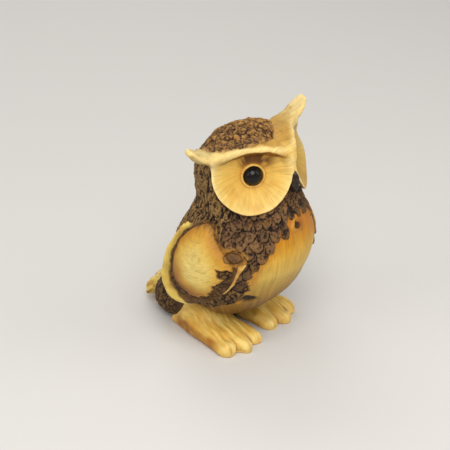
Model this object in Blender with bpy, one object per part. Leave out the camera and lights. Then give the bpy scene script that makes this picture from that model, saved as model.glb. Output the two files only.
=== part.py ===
"""Owl figurine, cast in resin as separate pieces that key together with cast-in pegs and sockets.

The owl faces -Y, its own right side is -X, and it stands on the plane z = 0.
The origin is on the ground, in the middle between the two feet.
Every length below is in millimetres; MM turns it into Blender's metres.
"""

import math

import bmesh
import bpy
import numpy as np
from mathutils import Matrix, Vector

for old in list(bpy.data.objects):
    bpy.data.objects.remove(old)

MM = 0.001

# ---------------------------------------------------------------- driving dimensions
GAP = 0.3  # glue line between neighbouring castings
NECK_Z = 68.0  # parting plane between torso and head
RING = 40  # points round the body

# Body outline by height: z, half width, front y, back y, y of the widest point
BODY = np.array([
    (11.2, 5.8, -10.6, 3.4, -7.0),
    (12.4, 12.2, -15.6, 9.4, -7.5),
    (15.0, 18.1, -20.2, 13.7, -8.0),
    (19.5, 22.9, -26.0, 17.1, -8.5),
    (26.0, 27.2, -31.9, 19.2, -9.0),
    (33.5, 30.0, -35.9, 19.6, -9.5),
    (41.0, 30.9, -39.1, 18.6, -10.0),
    (49.0, 30.0, -40.5, 15.8, -10.5),
    (57.0, 27.0, -39.4, 11.2, -11.0),
    (63.5, 23.8, -36.3, 8.0, -11.5),
    (69.5, 22.0, -33.2, 7.2, -12.0),
    (76.5, 22.6, -31.8, 8.9, -12.5),
    (83.0, 21.9, -31.4, 8.3, -12.5),
    (88.5, 18.8, -29.2, 4.8, -12.5),
    (92.5, 15.5, -26.2, 1.2, -12.5),
    (95.3, 11.4, -22.2, -3.4, -12.5),
    (97.1, 6.6, -17.9, -8.0, -12.5),
    (97.8, 1.2, -13.4, -11.6, -12.5),
])
RUMP_CENTRE, RUMP_RADII, RUMP_POWER = (0.0, 15.5, 9.4), (18.2, 15.4, 9.2), 3.0

# Facial discs: two shallow bowls that share a ridge over the beak
DISC_CENTRE = (-14.6, -26.9, 84.6)  # right one; the left one is its mirror image
DISC_AZ, DISC_EL = 36.0, 12.0  # where a disc looks, off straight ahead and above level
DISC_R, DISC_DEPTH, DISC_WALL = 17.0, 4.6, 2.0
EYE_R, EYE_HOLE_R = 4.0, 4.3
EYE_OFF = (0.9, -1.4)  # eye's place in its disc: towards the beak, and up
EYELID_IN, EYELID_OUT = 4.3, 5.4

# Brow crest by station: x, then the front lip (y, z), the back edge (y, z), half thickness,
# and how much further back the crest's left half reaches over the crown
BROW = np.array([
    (0.0, -34.4, 92.8, -24.8, 95.4, 2.2, 0.0),
    (5.2, -32.6, 93.7, -21.5, 96.0, 2.0, 0.6),
    (9.0, -29.7, 94.7, -18.5, 96.4, 1.9, 3.4),
    (13.0, -26.2, 94.8, -15.5, 96.0, 1.9, 3.2),
    (17.5, -22.1, 94.0, -12.5, 95.4, 2.0, 2.2),
    (22.0, -18.7, 92.9, -10.6, 95.2, 2.2, 1.0),
    (26.0, -16.6, 92.5, -9.6, 95.8, 2.4, 0.3),
    (29.0, -15.8, 92.8, -9.2, 96.8, 2.5, 0.0),
    (32.0, -15.3, 94.0, -9.2, 98.2, 2.5, 0.0),
    (34.6, -14.7, 95.9, -9.6, 99.3, 2.2, 0.0),
    (36.4, -13.9, 97.6, -10.4, 99.9, 1.6, 0.0),
])
TUFT_X = 29.0  # the ear tufts are cast apart from the crest beyond this

# Wing outline on the body's flank: y, z, and how far its rim stands off the body
WING_CENTRE = (-12.0, 43.0)
WING = np.array([
    (-2.7, 58.2, 3.6), (-0.4, 54.3, 4.6), (2.0, 50.4, 5.2), (3.2, 46.0, 6.0), (4.2, 41.5, 6.3),
    (5.6, 37.0, 6.6), (6.6, 32.6, 7.0), (6.0, 29.8, 7.4), (4.6, 27.6, 7.6), (2.6, 26.0, 7.4),
    (0.2, 24.6, 6.8), (-2.5, 23.8, 5.8), (-7.0, 24.6, 4.9), (-12.6, 27.2, 4.4), (-17.2, 29.8, 4.2),
    (-21.3, 32.9, 4.0), (-24.4, 36.2, 3.8), (-26.9, 40.2, 3.6), (-28.1, 43.6, 3.0), (-28.7, 47.0, 2.6),
    (-28.6, 49.8, 2.3), (-26.6, 51.8, 2.2), (-23.8, 53.0, 2.2), (-21.4, 54.8, 2.2), (-19.4, 57.0, 2.2),
    (-17.8, 59.4, 2.2), (-16.0, 62.0, 2.2), (-13.2, 63.0, 2.4), (-9.8, 61.8, 2.8), (-5.9, 59.6, 3.2),
])
# The raised pad's outline inside it: y, z
PAD = np.array([
    (-6.7, 57.3), (-10.4, 60.4), (-13.1, 61.7), (-15.4, 60.7), (-16.8, 57.9), (-18.8, 55.6), (-21.0, 53.3),
    (-23.2, 51.1), (-24.9, 49.0), (-26.0, 46.4), (-25.9, 43.1), (-24.4, 39.1), (-21.7, 35.3), (-18.3, 33.0),
    (-14.3, 31.5), (-10.4, 31.0), (-7.6, 31.9), (-4.8, 33.2), (-2.5, 34.8), (-1.4, 37.2), (-1.2, 40.6),
    (-1.4, 43.6), (-2.2, 47.9), (-3.2, 51.4), (-4.8, 54.5),
])

# Toes of the right foot: start (x, y), tip (x, y), half widths and heights at start, middle, near the tip
TOES = (
    ((-14.2, 17.0), (-22.9, -23.2), (3.4, 5.0, 3.9), (5.5, 10.5, 6.2)),
    ((-11.5, 12.0), (-14.9, -27.2), (3.4, 4.4, 3.5), (6.0, 10.0, 5.6)),
    ((-7.6, 8.0), (-6.7, -25.6), (3.2, 4.6, 3.6), (6.0, 9.0, 5.2)),
)
FOOT_PEG = (-13.0, -3.0, 3.0)  # x, y, radius
# Tail by station: y, half width, underside z, top z
TAIL = np.array([
    (22.0, 9.6, 8.4, 18.6), (26.0, 10.8, 6.8, 18.2), (30.0, 12.0, 4.6, 17.2), (33.5, 13.0, 2.6, 15.2),
    (36.2, 13.2, 1.6, 12.4), (38.0, 12.2, 1.8, 9.6), (38.9, 10.4, 2.8, 7.6),
])
TAIL_LOBES = 4  # feather bundles side by side


# ---------------------------------------------------------------- small helpers
def pchip(x, y, xi):
    """Monotone cubic through the rows of a table."""
    x, y = np.asarray(x, float), np.asarray(y, float)
    xi = np.clip(np.asarray(xi, float), x[0], x[-1])
    h = np.diff(x)
    d = np.diff(y) / h
    m = np.zeros_like(y)
    m[0], m[-1] = d[0], d[-1]
    for i in range(1, len(x) - 1):
        if d[i - 1] * d[i] > 0:
            a, b = 2 * h[i] + h[i - 1], h[i] + 2 * h[i - 1]
            m[i] = (a + b) / (a / d[i - 1] + b / d[i])
    k = np.clip(np.searchsorted(x, xi) - 1, 0, len(x) - 2)
    t = (xi - x[k]) / h[k]
    return ((1 + 2 * t) * (1 - t) ** 2 * y[k] + t * (1 - t) ** 2 * h[k] * m[k]
            + t * t * (3 - 2 * t) * y[k + 1] + t * t * (t - 1) * h[k] * m[k + 1])


def material(name, colour, roughness, metallic=0.0):
    made = bpy.data.materials.new(name)
    made.use_nodes = True
    shader = made.node_tree.nodes["Principled BSDF"]
    shader.inputs["Base Color"].default_value = (*colour, 1.0)
    shader.inputs["Roughness"].default_value = roughness
    shader.inputs["Metallic"].default_value = metallic
    return made


BARK = material("bark_resin", (0.13, 0.075, 0.045), 0.75)
HONEY = material("honey_resin", (0.78, 0.50, 0.17), 0.42)
CREAM = material("cream_resin", (0.86, 0.74, 0.48), 0.45)
BEAD = material("eye_glass", (0.012, 0.010, 0.010), 0.06)
BEAK = material("beak_resin", (0.020, 0.015, 0.013), 0.30)


def add(name, bm, mat, cutter=False):
    """A named object from a bmesh in millimetres, its faces pointing out."""
    bmesh.ops.recalc_face_normals(bm, faces=bm.faces)
    bmesh.ops.scale(bm, vec=(MM,) * 3, verts=bm.verts)
    if bm.calc_volume(signed=True) < 0:
        bmesh.ops.reverse_faces(bm, faces=bm.faces)
    mesh = bpy.data.meshes.new(name)
    bm.to_mesh(mesh)
    bm.free()
    if mat:
        mesh.materials.append(mat)
    mesh.shade_smooth()
    mesh.set_sharp_from_angle(angle=math.radians(50))
    obj = bpy.data.objects.new(name, mesh)
    bpy.context.scene.collection.objects.link(obj)
    if cutter:
        obj.hide_render = True
        obj.display_type = "WIRE"
    return obj


def boolean(obj, other, operation="DIFFERENCE"):
    mod = obj.modifiers.new(f"{operation.lower()}_{other.name}", "BOOLEAN")
    mod.operation = operation
    mod.solver = "EXACT"
    mod.object = other


def loft(rings, pole_start=None, pole_end=None):
    """A closed skin over rings of equal length, with flat or pointed ends."""
    bm = bmesh.new()
    rows = [[bm.verts.new(p) for p in ring] for ring in rings]
    n = len(rows[0])
    for a, b in zip(rows, rows[1:]):
        for i in range(n):
            j = (i + 1) % n
            bm.faces.new((a[i], a[j], b[j], b[i]))
    for row, pole in ((rows[0], pole_start), (rows[-1], pole_end)):
        if pole is None:
            bm.faces.new(row)
        else:
            tip = bm.verts.new(pole)
            for i in range(n):
                bm.faces.new((row[i], row[(i + 1) % n], tip))
    return bm


def cylinder(start, end, radius, segments=24, end_radius=None):
    a, b = Vector(start), Vector(end)
    turn = (b - a).to_track_quat("Z", "Y").to_matrix().to_4x4()
    bm = bmesh.new()
    bmesh.ops.create_cone(bm, cap_ends=True, segments=segments, radius1=radius,
                          radius2=radius if end_radius is None else end_radius,
                          depth=(b - a).length, matrix=Matrix.Translation((a + b) / 2) @ turn)
    return bm


def ellipsoid(centre, radii, u=26, v=15, power=2.0):
    """An ellipsoid, or a boxier one when power is above 2."""
    bm = bmesh.new()
    bmesh.ops.create_uvsphere(bm, u_segments=u, v_segments=v, radius=1.0)
    for vert in bm.verts:
        vert.co /= sum(abs(c) ** power for c in vert.co) ** (1 / power)
    bmesh.ops.scale(bm, vec=radii, verts=bm.verts)
    bmesh.ops.translate(bm, vec=centre, verts=bm.verts)
    return bm


def block(low, high):
    bm = bmesh.new()
    bmesh.ops.create_cube(bm, size=1.0)
    bmesh.ops.scale(bm, vec=[h - l for l, h in zip(low, high)], verts=bm.verts)
    bmesh.ops.translate(bm, vec=[(h + l) / 2 for l, h in zip(low, high)], verts=bm.verts)
    return bm


def revolve(profile, frame, segments=36):
    """Spins a closed (radius, height) outline, both ends on the axis, about a frame's own Z."""
    rings = [[frame @ Vector((r * math.cos(2 * math.pi * k / segments), r * math.sin(2 * math.pi * k / segments), h))
              for k in range(segments)] for r, h in profile if r > 1e-6]
    first, last = profile[0], profile[-1]
    return loft(rings, frame @ Vector((0, 0, first[1])) if first[0] <= 1e-6 else None,
                frame @ Vector((0, 0, last[1])) if last[0] <= 1e-6 else None)


def ring_washer(profile, frame, segments=26):
    """Spins a closed outline that stays clear of the axis."""
    bm = bmesh.new()
    rows = [[bm.verts.new(frame @ Vector((r * math.cos(2 * math.pi * k / segments), r * math.sin(2 * math.pi * k / segments), h)))
             for r, h in profile] for k in range(segments)]
    m = len(profile)
    for k in range(segments):
        a, b = rows[k], rows[(k + 1) % segments]
        for i in range(m):
            bm.faces.new((a[i], b[i], b[(i + 1) % m], a[(i + 1) % m]))
    return bm


# ---------------------------------------------------------------- body surface
def body_at(z, grow=0.0):
    half, front, back, mid = (pchip(BODY[:, 0], BODY[:, i], z) for i in range(1, 5))
    return half + grow, front - grow, back + grow, mid


def body_ring(z, grow=0.0, n=RING):
    half, front, back, mid = body_at(z, grow)
    ring = []
    for k in range(n):
        t = 2 * math.pi * k / n
        c, s = math.cos(t), math.sin(t)
        ring.append((half * c, mid + (mid - front) * s if s < 0 else mid + (back - mid) * s, z))
    return ring


def body_side(y, z):
    """Point and outward normal on the body's right flank, over (y, z)."""
    def x_at(yy, zz):
        half, front, back, mid = body_at(zz)
        reach = (mid - front) if yy < mid else (back - mid)
        return -half * math.sqrt(max(0.02, 1 - ((yy - mid) / reach) ** 2))
    x = x_at(y, z)
    e = 0.3
    normal = Vector((-1.0, (x_at(y + e, z) - x_at(y - e, z)) / (2 * e), (x_at(y, z + e) - x_at(y, z - e)) / (2 * e)))
    return Vector((x, y, z)), normal.normalized()


TORSO_Z = (11.2, 12.4, 15.0, 19.5, 25.0, 31.0, 37.0, 43.0, 49.0, 55.0, 60.0, 64.5, NECK_Z)
HEAD_Z = (NECK_Z + GAP, 72.5, 77.0, 81.5, 85.5, 89.0, 92.0, 94.4, 96.2, 97.3)


def grown_body(name, levels, grow, low=0.0, high=0.0):
    rings = [body_ring(z, grow) for z in levels]
    rings[0] = [(x, y, z - low) for x, y, z in rings[0]]
    rings[-1] = [(x, y, z + high) for x, y, z in rings[-1]]
    return add(name, loft(rings), None, cutter=True)


torso_fit = grown_body("fit_torso", TORSO_Z, GAP, low=GAP, high=GAP)
head_fit = grown_body("fit_head", HEAD_Z, GAP, low=GAP, high=GAP + 0.3)
rump_fit = add("fit_rump", ellipsoid(RUMP_CENTRE, [r + GAP for r in RUMP_RADII], power=RUMP_POWER), None, cutter=True)

# ---------------------------------------------------------------- torso and head
torso = add("torso", loft([body_ring(z) for z in TORSO_Z]), HONEY)
boolean(torso, add("form_rump", ellipsoid(RUMP_CENTRE, RUMP_RADII, power=RUMP_POWER), None, cutter=True), "UNION")

head = add("head", loft([body_ring(z) for z in HEAD_Z]), BARK)
NECK_AXIS = (0.0, -12.5)
boolean(torso, add("socket_neck", cylinder((*NECK_AXIS, NECK_Z - 8.6), (*NECK_AXIS, NECK_Z + 1), 8.3, 32), None, cutter=True))
boolean(head, add("peg_neck", cylinder((*NECK_AXIS, NECK_Z - 8.0), (*NECK_AXIS, NECK_Z + 4), 8.0, 32), None, cutter=True), "UNION")


# ---------------------------------------------------------------- facial discs
def disc_frame(side):
    """The disc's frame: its Z looks out of the bowl, its X runs towards the ridge. side is -1 for the owl's right."""
    az, el = math.radians(DISC_AZ), math.radians(DISC_EL)
    out = Vector((side * math.sin(az) * math.cos(el), -math.cos(az) * math.cos(el), math.sin(el)))
    inner = Vector((-side * math.cos(az), -math.sin(az), 0.0))
    up = out.cross(inner) * -side
    centre = Vector((-side * DISC_CENTRE[0], DISC_CENTRE[1], DISC_CENTRE[2]))
    return Matrix(((inner.x, up.x, out.x, centre.x), (inner.y, up.y, out.y, centre.y),
                   (inner.z, up.z, out.z, centre.z), (0, 0, 0, 1)))


def bowl_h(r):
    return -DISC_DEPTH * (1 - (r / DISC_R) ** 2)


def bowl_outline(grow=0.0):
    front = [(r, bowl_h(r) + grow) for r in (0.0, 5.0, 9.0, 12.5, 15.0, 16.2)]
    rim = [(DISC_R + grow * 0.7, -0.25 + grow * 0.5), (DISC_R + grow, -0.9), (DISC_R - 0.2 + grow * 0.7, -1.7 - grow * 0.7)]
    back = [(r, bowl_h(r) - DISC_WALL - grow) for r in (15.4, 12.5, 9.0, 5.0, 0.0)]
    return front + rim + back


SIDES = {"right": -1, "left": 1}
FRAMES = {name: disc_frame(side) for name, side in SIDES.items()}

for name, frame in FRAMES.items():
    # everything in front of the bowl's back face, so that the disc beds on the head
    seat = [(0.0, bowl_h(0) - DISC_WALL - GAP)] + [(r, bowl_h(r) - DISC_WALL - GAP) for r in (5.0, 9.0, 12.5, 15.4)]
    seat += [(DISC_R + 0.6, -1.9 - GAP), (DISC_R + 0.9, 3.0), (DISC_R + 0.9, 16.0), (0.0, 16.0)]
    cutter = add(f"seat_{name}", revolve(seat, frame), None, cutter=True)
    boolean(head, cutter)
    boolean(torso, cutter)

mask = add("face_mask", revolve(bowl_outline(), FRAMES["right"]), CREAM)
boolean(mask, add("form_bowl_left", revolve(bowl_outline(), FRAMES["left"]), None, cutter=True), "UNION")


def bridge(grow=0.0):
    """The bridge of the nose, which fills the wedge behind the ridge between the two bowls."""
    levels = ((76.0, -33.2, 1.6, 1.6), (80.0, -33.8, 1.8, 1.9), (84.0, -34.6, 1.7, 2.0), (87.0, -34.2, 2.2, 2.3), (90.5, -32.6, 3.0, 3.0), (94.0, -31.0, 3.4, 3.2))
    return loft([[((w + grow) * math.cos(t), y + (d + grow) * math.sin(t), z + (grow if z > 90.6 else -grow if z < 77 else 0))
                  for t in [2 * math.pi * k / 16 for k in range(16)]] for z, y, w, d in levels])


boolean(mask, add("form_bridge", bridge(), None, cutter=True), "UNION")
boolean(head, add("fit_bridge", bridge(GAP), None, cutter=True))


# ---------------------------------------------------------------- brow crest and ear tufts
def crest_section(x, grow=0.0, n=14):
    """The crest's section at a station: a blade with its lip in front and its back edge on the crown."""
    a = abs(x)
    lip_y, lip_z, back_y, back_z, thick, more = (float(pchip(BROW[:, 0], BROW[:, i], a)) for i in range(1, 7))
    back_y += more if x > 0 else 0.0
    lip, back = Vector((x, lip_y, lip_z)), Vector((x, back_y, back_z))
    along = (back - lip)
    length = along.length / 2
    along.normalize()
    down = Vector((0, along.z, -along.y))
    middle = (lip + back) / 2 + down * thick * 0.72
    ring = []
    for k in range(n):
        t = 2 * math.pi * k / n
        c, s = math.cos(t), math.sin(t)
        ring.append(middle + along * (length + grow) * c + down * (thick + grow) * (abs(s) ** 0.85) * math.copysign(1, s))
    return ring


CREST_X = (0.0, 3.0, 6.0, 9.0, 12.0, 15.0, 18.0, 21.0, 24.0, 27.0, TUFT_X)


def crest_loft(grow=0.0, reach=0.0):
    xs = [-x for x in reversed(CREST_X[1:])] + list(CREST_X)
    rings = [crest_section(x, grow) for x in xs]
    rings[0] = [Vector((p[0] - reach, p[1], p[2])) for p in rings[0]]
    rings[-1] = [Vector((p[0] + reach, p[1], p[2])) for p in rings[-1]]
    return loft(rings)


crest_fit = add("fit_crest", crest_loft(GAP, 3.0), None, cutter=True)


def above_crest():
    """All the room over the crest's lip, out past both ends, so that the mask ends under the crest."""
    rings = []
    for x in (-40.0, *[-v for v in reversed(CREST_X[1:])], *CREST_X, 40.0):
        lip_y, lip_z, back_y, back_z = (float(pchip(BROW[:, 0], BROW[:, i], min(abs(x), TUFT_X))) for i in range(1, 5))
        rings.append([(x, lip_y - 15, lip_z - 1.6), (x, lip_y, lip_z - 1.6), (x, back_y + 8, back_z - 2.0),
                      (x, back_y + 8, 125.0), (x, lip_y - 15, 125.0)])
    return loft(rings)


boolean(mask, add("above_crest", above_crest(), None, cutter=True))
boolean(mask, crest_fit)

crest = add("brow_crest", crest_loft(), CREAM)
boolean(crest, head_fit)

for name, side in SIDES.items():
    xs = [TUFT_X + GAP, 31.0, 32.8, 34.4, 35.6]
    tip = BROW[-1]
    tuft = add(f"ear_tuft_{name}", loft([crest_section(side * x) for x in xs],
                                        pole_end=(side * 36.6, (tip[1] + tip[3]) / 2, (tip[2] + tip[4]) / 2)), CREAM)
    root = [Vector(p) for p in crest_section(side * TUFT_X)]
    middle = sum(root, Vector()) / len(root)
    inward = Vector((-side * 1.0, -0.10, -0.22)).normalized()
    boolean(tuft, add(f"peg_tuft_{name}", cylinder(middle - inward * 1.5, middle + inward * 4.0, 1.1, 12), None, cutter=True), "UNION")
    boolean(crest, add(f"socket_tuft_{name}", cylinder(middle - inward * 1.2, middle + inward * 4.5, 1.4, 12), None, cutter=True))

# ---------------------------------------------------------------- eyes
for name, frame in FRAMES.items():
    hole = [(0.0, -12.0), (EYE_HOLE_R, -12.0), (EYE_HOLE_R, 4.0), (0.0, 4.0)]
    frame = frame @ Matrix.Translation((EYE_OFF[0], EYE_OFF[1], 0.0))
    boolean(mask, add(f"eye_hole_{name}", revolve(hole, frame, 32), None, cutter=True))
    base = bowl_h(0)
    bottom = base - DISC_WALL + 0.7
    eye = [(0.0, bottom), (EYE_R - 0.3, bottom), (EYE_R, bottom + 0.3), (EYE_R, base + 0.4)]
    eye += [(EYE_R * math.cos(a), base + 0.4 + 3.0 * math.sin(a)) for a in (0.35, 0.75, 1.15)] + [(0.0, base + 3.4)]
    add(f"eye_{name}", revolve(eye, frame, 26), BEAD)
    lid_base = base + GAP + 0.75
    lid = [(EYELID_IN, lid_base), (EYELID_OUT, lid_base + 0.1), (EYELID_OUT + 0.05, lid_base + 0.7),
           (EYELID_OUT - 0.35, lid_base + 1.2), (EYELID_IN + 0.25, lid_base + 1.3), (EYELID_IN, lid_base + 0.8)]
    add(f"eyelid_{name}", ring_washer(lid, frame), CREAM)

# ---------------------------------------------------------------- beak
beak_levels = (  # z, half width, front y, back y
    (84.0, 0.9, -37.0, -34.0), (82.8, 1.4, -38.2, -33.6), (81.0, 1.7, -38.9, -33.2), (79.0, 1.8, -39.0, -33.0),
    (77.2, 1.5, -38.6, -33.4), (75.8, 1.0, -37.9, -34.0), (74.8, 0.5, -37.2, -35.0))


def beak_bm(grow=0.0):
    rings = []
    for z, w, front, back in beak_levels:
        mid, deep = (front + back) / 2, (back - front) / 2
        rings.append([((w + grow) * math.cos(t), mid + (deep + grow) * math.sin(t), z) for t in
                      [2 * math.pi * k / 16 for k in range(16)]])
    return loft(rings, (0, -35.4, 84.6 + grow), (0, -37.0, 74.2 - grow))


beak = add("beak", beak_bm(), BEAK)
boolean(mask, add("fit_beak", beak_bm(GAP), None, cutter=True))
boolean(beak, head_fit)
boolean(beak, add("peg_beak", cylinder((0, -35.5, 79.0), (0, -28.0, 79.0), 1.2, 14), None, cutter=True), "UNION")
beak_socket = add("socket_beak", cylinder((0, -37.0, 79.0), (0, -27.4, 79.0), 1.5, 14), None, cutter=True)
boolean(head, beak_socket)
boolean(mask, beak_socket)


# ---------------------------------------------------------------- wings
def polar(table, a, column=None):
    """An outline's radius about the wing's centre at angle a, or one of its other columns."""
    dy, dz = table[:, 0] - WING_CENTRE[0], table[:, 1] - WING_CENTRE[1]
    angle = np.arctan2(dz, dy)
    value = np.hypot(dy, dz) if column is None else table[:, column]
    order = np.argsort(angle)
    angle, value = angle[order], value[order]
    angle = np.concatenate([angle[-4:] - 2 * np.pi, angle, angle[:4] + 2 * np.pi])
    return float(pchip(angle, np.concatenate([value[-4:], value, value[:4]]), a))


def wing_shell(side, rows, n=28):
    """A shell on the flank. rows maps (pad radius, rim radius, rim stand-off) to (radius, low, high) from the centre out."""
    bm = bmesh.new()

    def vert(a, r, height):
        p, normal = body_side(WING_CENTRE[0] + r * math.cos(a), WING_CENTRE[1] + r * math.sin(a))
        q = p + normal * height
        return bm.verts.new((-side * q.x, q.y, q.z))

    angles = [-math.pi + 2 * math.pi * k / n for k in range(n)]
    table = [rows(polar(PAD, a), polar(WING, a), polar(WING, a, 2)) for a in angles]
    skins = []
    for level in (1, 2):
        centre = vert(0, 0, table[0][0][level])
        made = [[vert(a, table[k][m][0], table[k][m][level]) for k, a in enumerate(angles)] for m in range(1, len(table[0]))]
        for i in range(n):
            j = (i + 1) % n
            bm.faces.new((centre, made[0][i], made[0][j]))
            for p, q in zip(made, made[1:]):
                bm.faces.new((p[i], q[i], q[j], p[j]))
        skins.append(made[-1])
    low, high = skins
    for i in range(n):
        j = (i + 1) % n
        bm.faces.new((low[i], high[i], high[j], low[j]))
    return bm


FLOOR = 1.3  # height of the groove and of the pad's seat above the body


def base_rows(pad, rim, stand):
    """Flat seat under the pad, then the groove, then the rim where there is room for one."""
    width = rim - pad
    rise = min(1.0, max(0.0, (width - 1.2) / 1.6)) * (stand - FLOOR)
    rows = [(0.0, FLOOR), (pad * 0.5, FLOOR), (pad + 0.2, FLOOR), (pad + width * 0.32, FLOOR)]
    rows += [(pad + width * 0.46, FLOOR + rise * 0.72), (pad + width * 0.66, FLOOR + rise),
             (pad + width * 0.88, FLOOR + rise * 0.95), (rim, FLOOR - 0.4 + rise * 0.6)]
    return [(r, GAP, h) for r, h in rows]


def pad_rows(pad, rim, stand):
    """A low pillow with a rounded edge, thinner where the rim is low."""
    low = FLOOR + GAP
    thin = min(1.0, 0.30 + 0.12 * stand)
    rows = [(0.0, 4.4), (0.3, 4.3), (0.6, 3.9), (0.82, 3.1), (0.94, 2.3), (1.0, 1.4)]
    return [(pad * share, low, low + h * (1 - share * (1 - thin))) for share, h in rows]


for name, side in SIDES.items():
    base = add(f"wing_base_{name}", wing_shell(side, base_rows), CREAM)
    pad = add(f"wing_pad_{name}", wing_shell(side, pad_rows), HONEY)
    centre, normal = body_side(*WING_CENTRE)
    centre.x *= -side
    normal.x *= -side
    boolean(base, add(f"peg_wing_{name}", cylinder(centre - normal * 6.0, centre + normal * 1.0, 2.6, 20), None, cutter=True), "UNION")
    boolean(torso, add(f"socket_wing_{name}", cylinder(centre - normal * 6.6, centre + normal * 2.0, 2.9, 20), None, cutter=True))
    point, out = body_side(WING_CENTRE[0] - 9.0, WING_CENTRE[1] + 4.0)
    point.x *= -side
    out.x *= -side
    boolean(pad, add(f"peg_pad_{name}", cylinder(point + out * 0.7, point + out * 2.6, 1.6, 16), None, cutter=True), "UNION")
    boolean(base, add(f"socket_pad_{name}", cylinder(point + out * 0.4, point + out * 3.0, 1.9, 16), None, cutter=True))

# ---------------------------------------------------------------- feet


def mirrored(bm, side):
    """The right-hand shape, or its mirror image for the left."""
    bmesh.ops.scale(bm, vec=(-side, 1, 1), verts=bm.verts)  # side is -1 for the right
    return bm


def toe(start, tip, widths, heights, n=14):
    a, b = Vector((*start, 0)), Vector((*tip, 0))
    along = (b - a).normalized()
    across = Vector((along.y, -along.x, 0))
    length = (b - a).length
    rings = []
    for s in (0.03, 0.12, 0.28, 0.45, 0.62, 0.78, 0.90, 0.97):
        w = float(pchip((0, 0.5, 0.88, 1.0), (widths[0], widths[1], widths[2], widths[2] * 0.72), s))
        h = float(pchip((0, 0.35, 0.88, 1.0), (heights[0], heights[1], heights[2], heights[2] * 0.72), s))
        end = min(1.0, math.sqrt(max(0.0, 1 - ((0.10 - s) / 0.10) ** 2))) if s < 0.10 else 1.0
        c = a + along * length * s
        rings.append([c + across * (w * end * math.cos(t)) + Vector((0, 0, -1.5 + (h + 1.5) * (0.5 + 0.5 * math.sin(t))))
                      for t in [2 * math.pi * k / n for k in range(n)]])
    return loft(rings, a + Vector((0, 0, heights[0] * 0.4)), b + Vector((0, 0, heights[2] * 0.30)))


ground = add("ground_cut", block((-60, -60, -12), (60, 60, 0)), None, cutter=True)
for name, side in SIDES.items():
    foot = add(f"foot_{name}", mirrored(toe(*TOES[0]), side), HONEY)
    for i, shape in enumerate(TOES[1:]):
        boolean(foot, add(f"toe_{i + 2}_{name}", mirrored(toe(*shape), side), None, cutter=True), "UNION")
    boolean(foot, add(f"ankle_{name}", mirrored(ellipsoid((-12.6, 1.0, 8.1), (8.6, 11.5, 8.2), 18, 11), side), None, cutter=True), "UNION")
    boolean(foot, ground)
    boolean(foot, torso_fit)
    boolean(foot, rump_fit)
    px, py, pr = -side * FOOT_PEG[0], FOOT_PEG[1], FOOT_PEG[2]
    boolean(foot, add(f"peg_foot_{name}", cylinder((px, py, 6.0), (px, py, 24.0), pr, 20), None, cutter=True), "UNION")
    boolean(torso, add(f"socket_foot_{name}", cylinder((px, py, 8.0), (px, py, 24.6), pr + GAP, 20), None, cutter=True))

# ---------------------------------------------------------------- tail


def tail_ring(y, half, low, high, n=32):
    """A flattened section whose top and bottom swell into one ridge for each feather bundle."""
    ring = []
    for k in range(n):
        t = 2 * math.pi * k / n
        c, s = math.cos(t), math.sin(t)
        lobe = abs(math.sin(math.pi * TAIL_LOBES * (c + 1) / 2))
        reach = (y - TAIL[0, 0]) / (TAIL[-1, 0] - TAIL[0, 0])
        swell = 0.80 + 0.20 * lobe
        ring.append((half * c, y + reach * (1.9 * lobe - 3.0 * c * c),
                     (low + high) / 2 + (high - low) / 2 * math.copysign(abs(s) ** 0.8, s) * swell))
    return ring


tail = add("tail", loft([tail_ring(*row) for row in TAIL]), CREAM)
boolean(tail, torso_fit)
boolean(tail, rump_fit)
boolean(tail, add("peg_tail", cylinder((0, 33.0, 9.4), (0, 18.0, 11.4), 2.4, 18), None, cutter=True), "UNION")
boolean(torso, add("socket_tail", cylinder((0, 34.0, 9.27), (0, 17.4, 11.48), 2.7, 18), None, cutter=True))
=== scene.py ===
import math

import bpy
import numpy as np
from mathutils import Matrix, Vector


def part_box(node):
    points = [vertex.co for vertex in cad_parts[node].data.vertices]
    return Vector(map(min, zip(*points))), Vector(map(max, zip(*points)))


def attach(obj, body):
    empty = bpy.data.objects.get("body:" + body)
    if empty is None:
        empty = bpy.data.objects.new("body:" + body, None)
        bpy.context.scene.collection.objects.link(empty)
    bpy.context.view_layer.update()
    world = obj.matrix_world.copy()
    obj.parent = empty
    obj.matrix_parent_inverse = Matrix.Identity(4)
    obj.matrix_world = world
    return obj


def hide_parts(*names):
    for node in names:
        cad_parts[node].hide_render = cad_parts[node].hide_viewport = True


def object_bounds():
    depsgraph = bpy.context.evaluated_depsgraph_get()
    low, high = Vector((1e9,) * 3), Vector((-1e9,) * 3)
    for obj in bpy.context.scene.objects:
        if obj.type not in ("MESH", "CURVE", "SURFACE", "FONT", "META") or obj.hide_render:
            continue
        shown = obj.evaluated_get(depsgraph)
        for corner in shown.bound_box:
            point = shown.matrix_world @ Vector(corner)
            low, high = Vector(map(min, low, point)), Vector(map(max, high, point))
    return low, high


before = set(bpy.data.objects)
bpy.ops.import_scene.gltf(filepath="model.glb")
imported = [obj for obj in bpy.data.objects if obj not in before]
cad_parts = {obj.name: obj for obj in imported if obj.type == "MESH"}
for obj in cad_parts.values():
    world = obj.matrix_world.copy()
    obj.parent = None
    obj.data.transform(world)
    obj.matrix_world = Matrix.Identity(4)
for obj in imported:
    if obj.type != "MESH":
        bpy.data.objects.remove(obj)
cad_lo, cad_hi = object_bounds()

BODY_STEP = 0.44   # surface spacing of the sculpted meshes, mm
FACE_STEP = 0.30
FOOT_STEP = 0.34

# ------------------------------------------------------------------ the frame
# All tables below are in millimetres of this nominal box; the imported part's own box places them.
NOMINAL = np.array([(-36.777, -40.500, 0.0), (36.777, 40.574, 99.255)])
CAD = np.array([list(cad_lo), list(cad_hi)])


def to_frame(p):
    share = (np.asarray(p, float) - NOMINAL[0]) / (NOMINAL[1] - NOMINAL[0])
    return CAD[0] + share * (CAD[1] - CAD[0])


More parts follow.
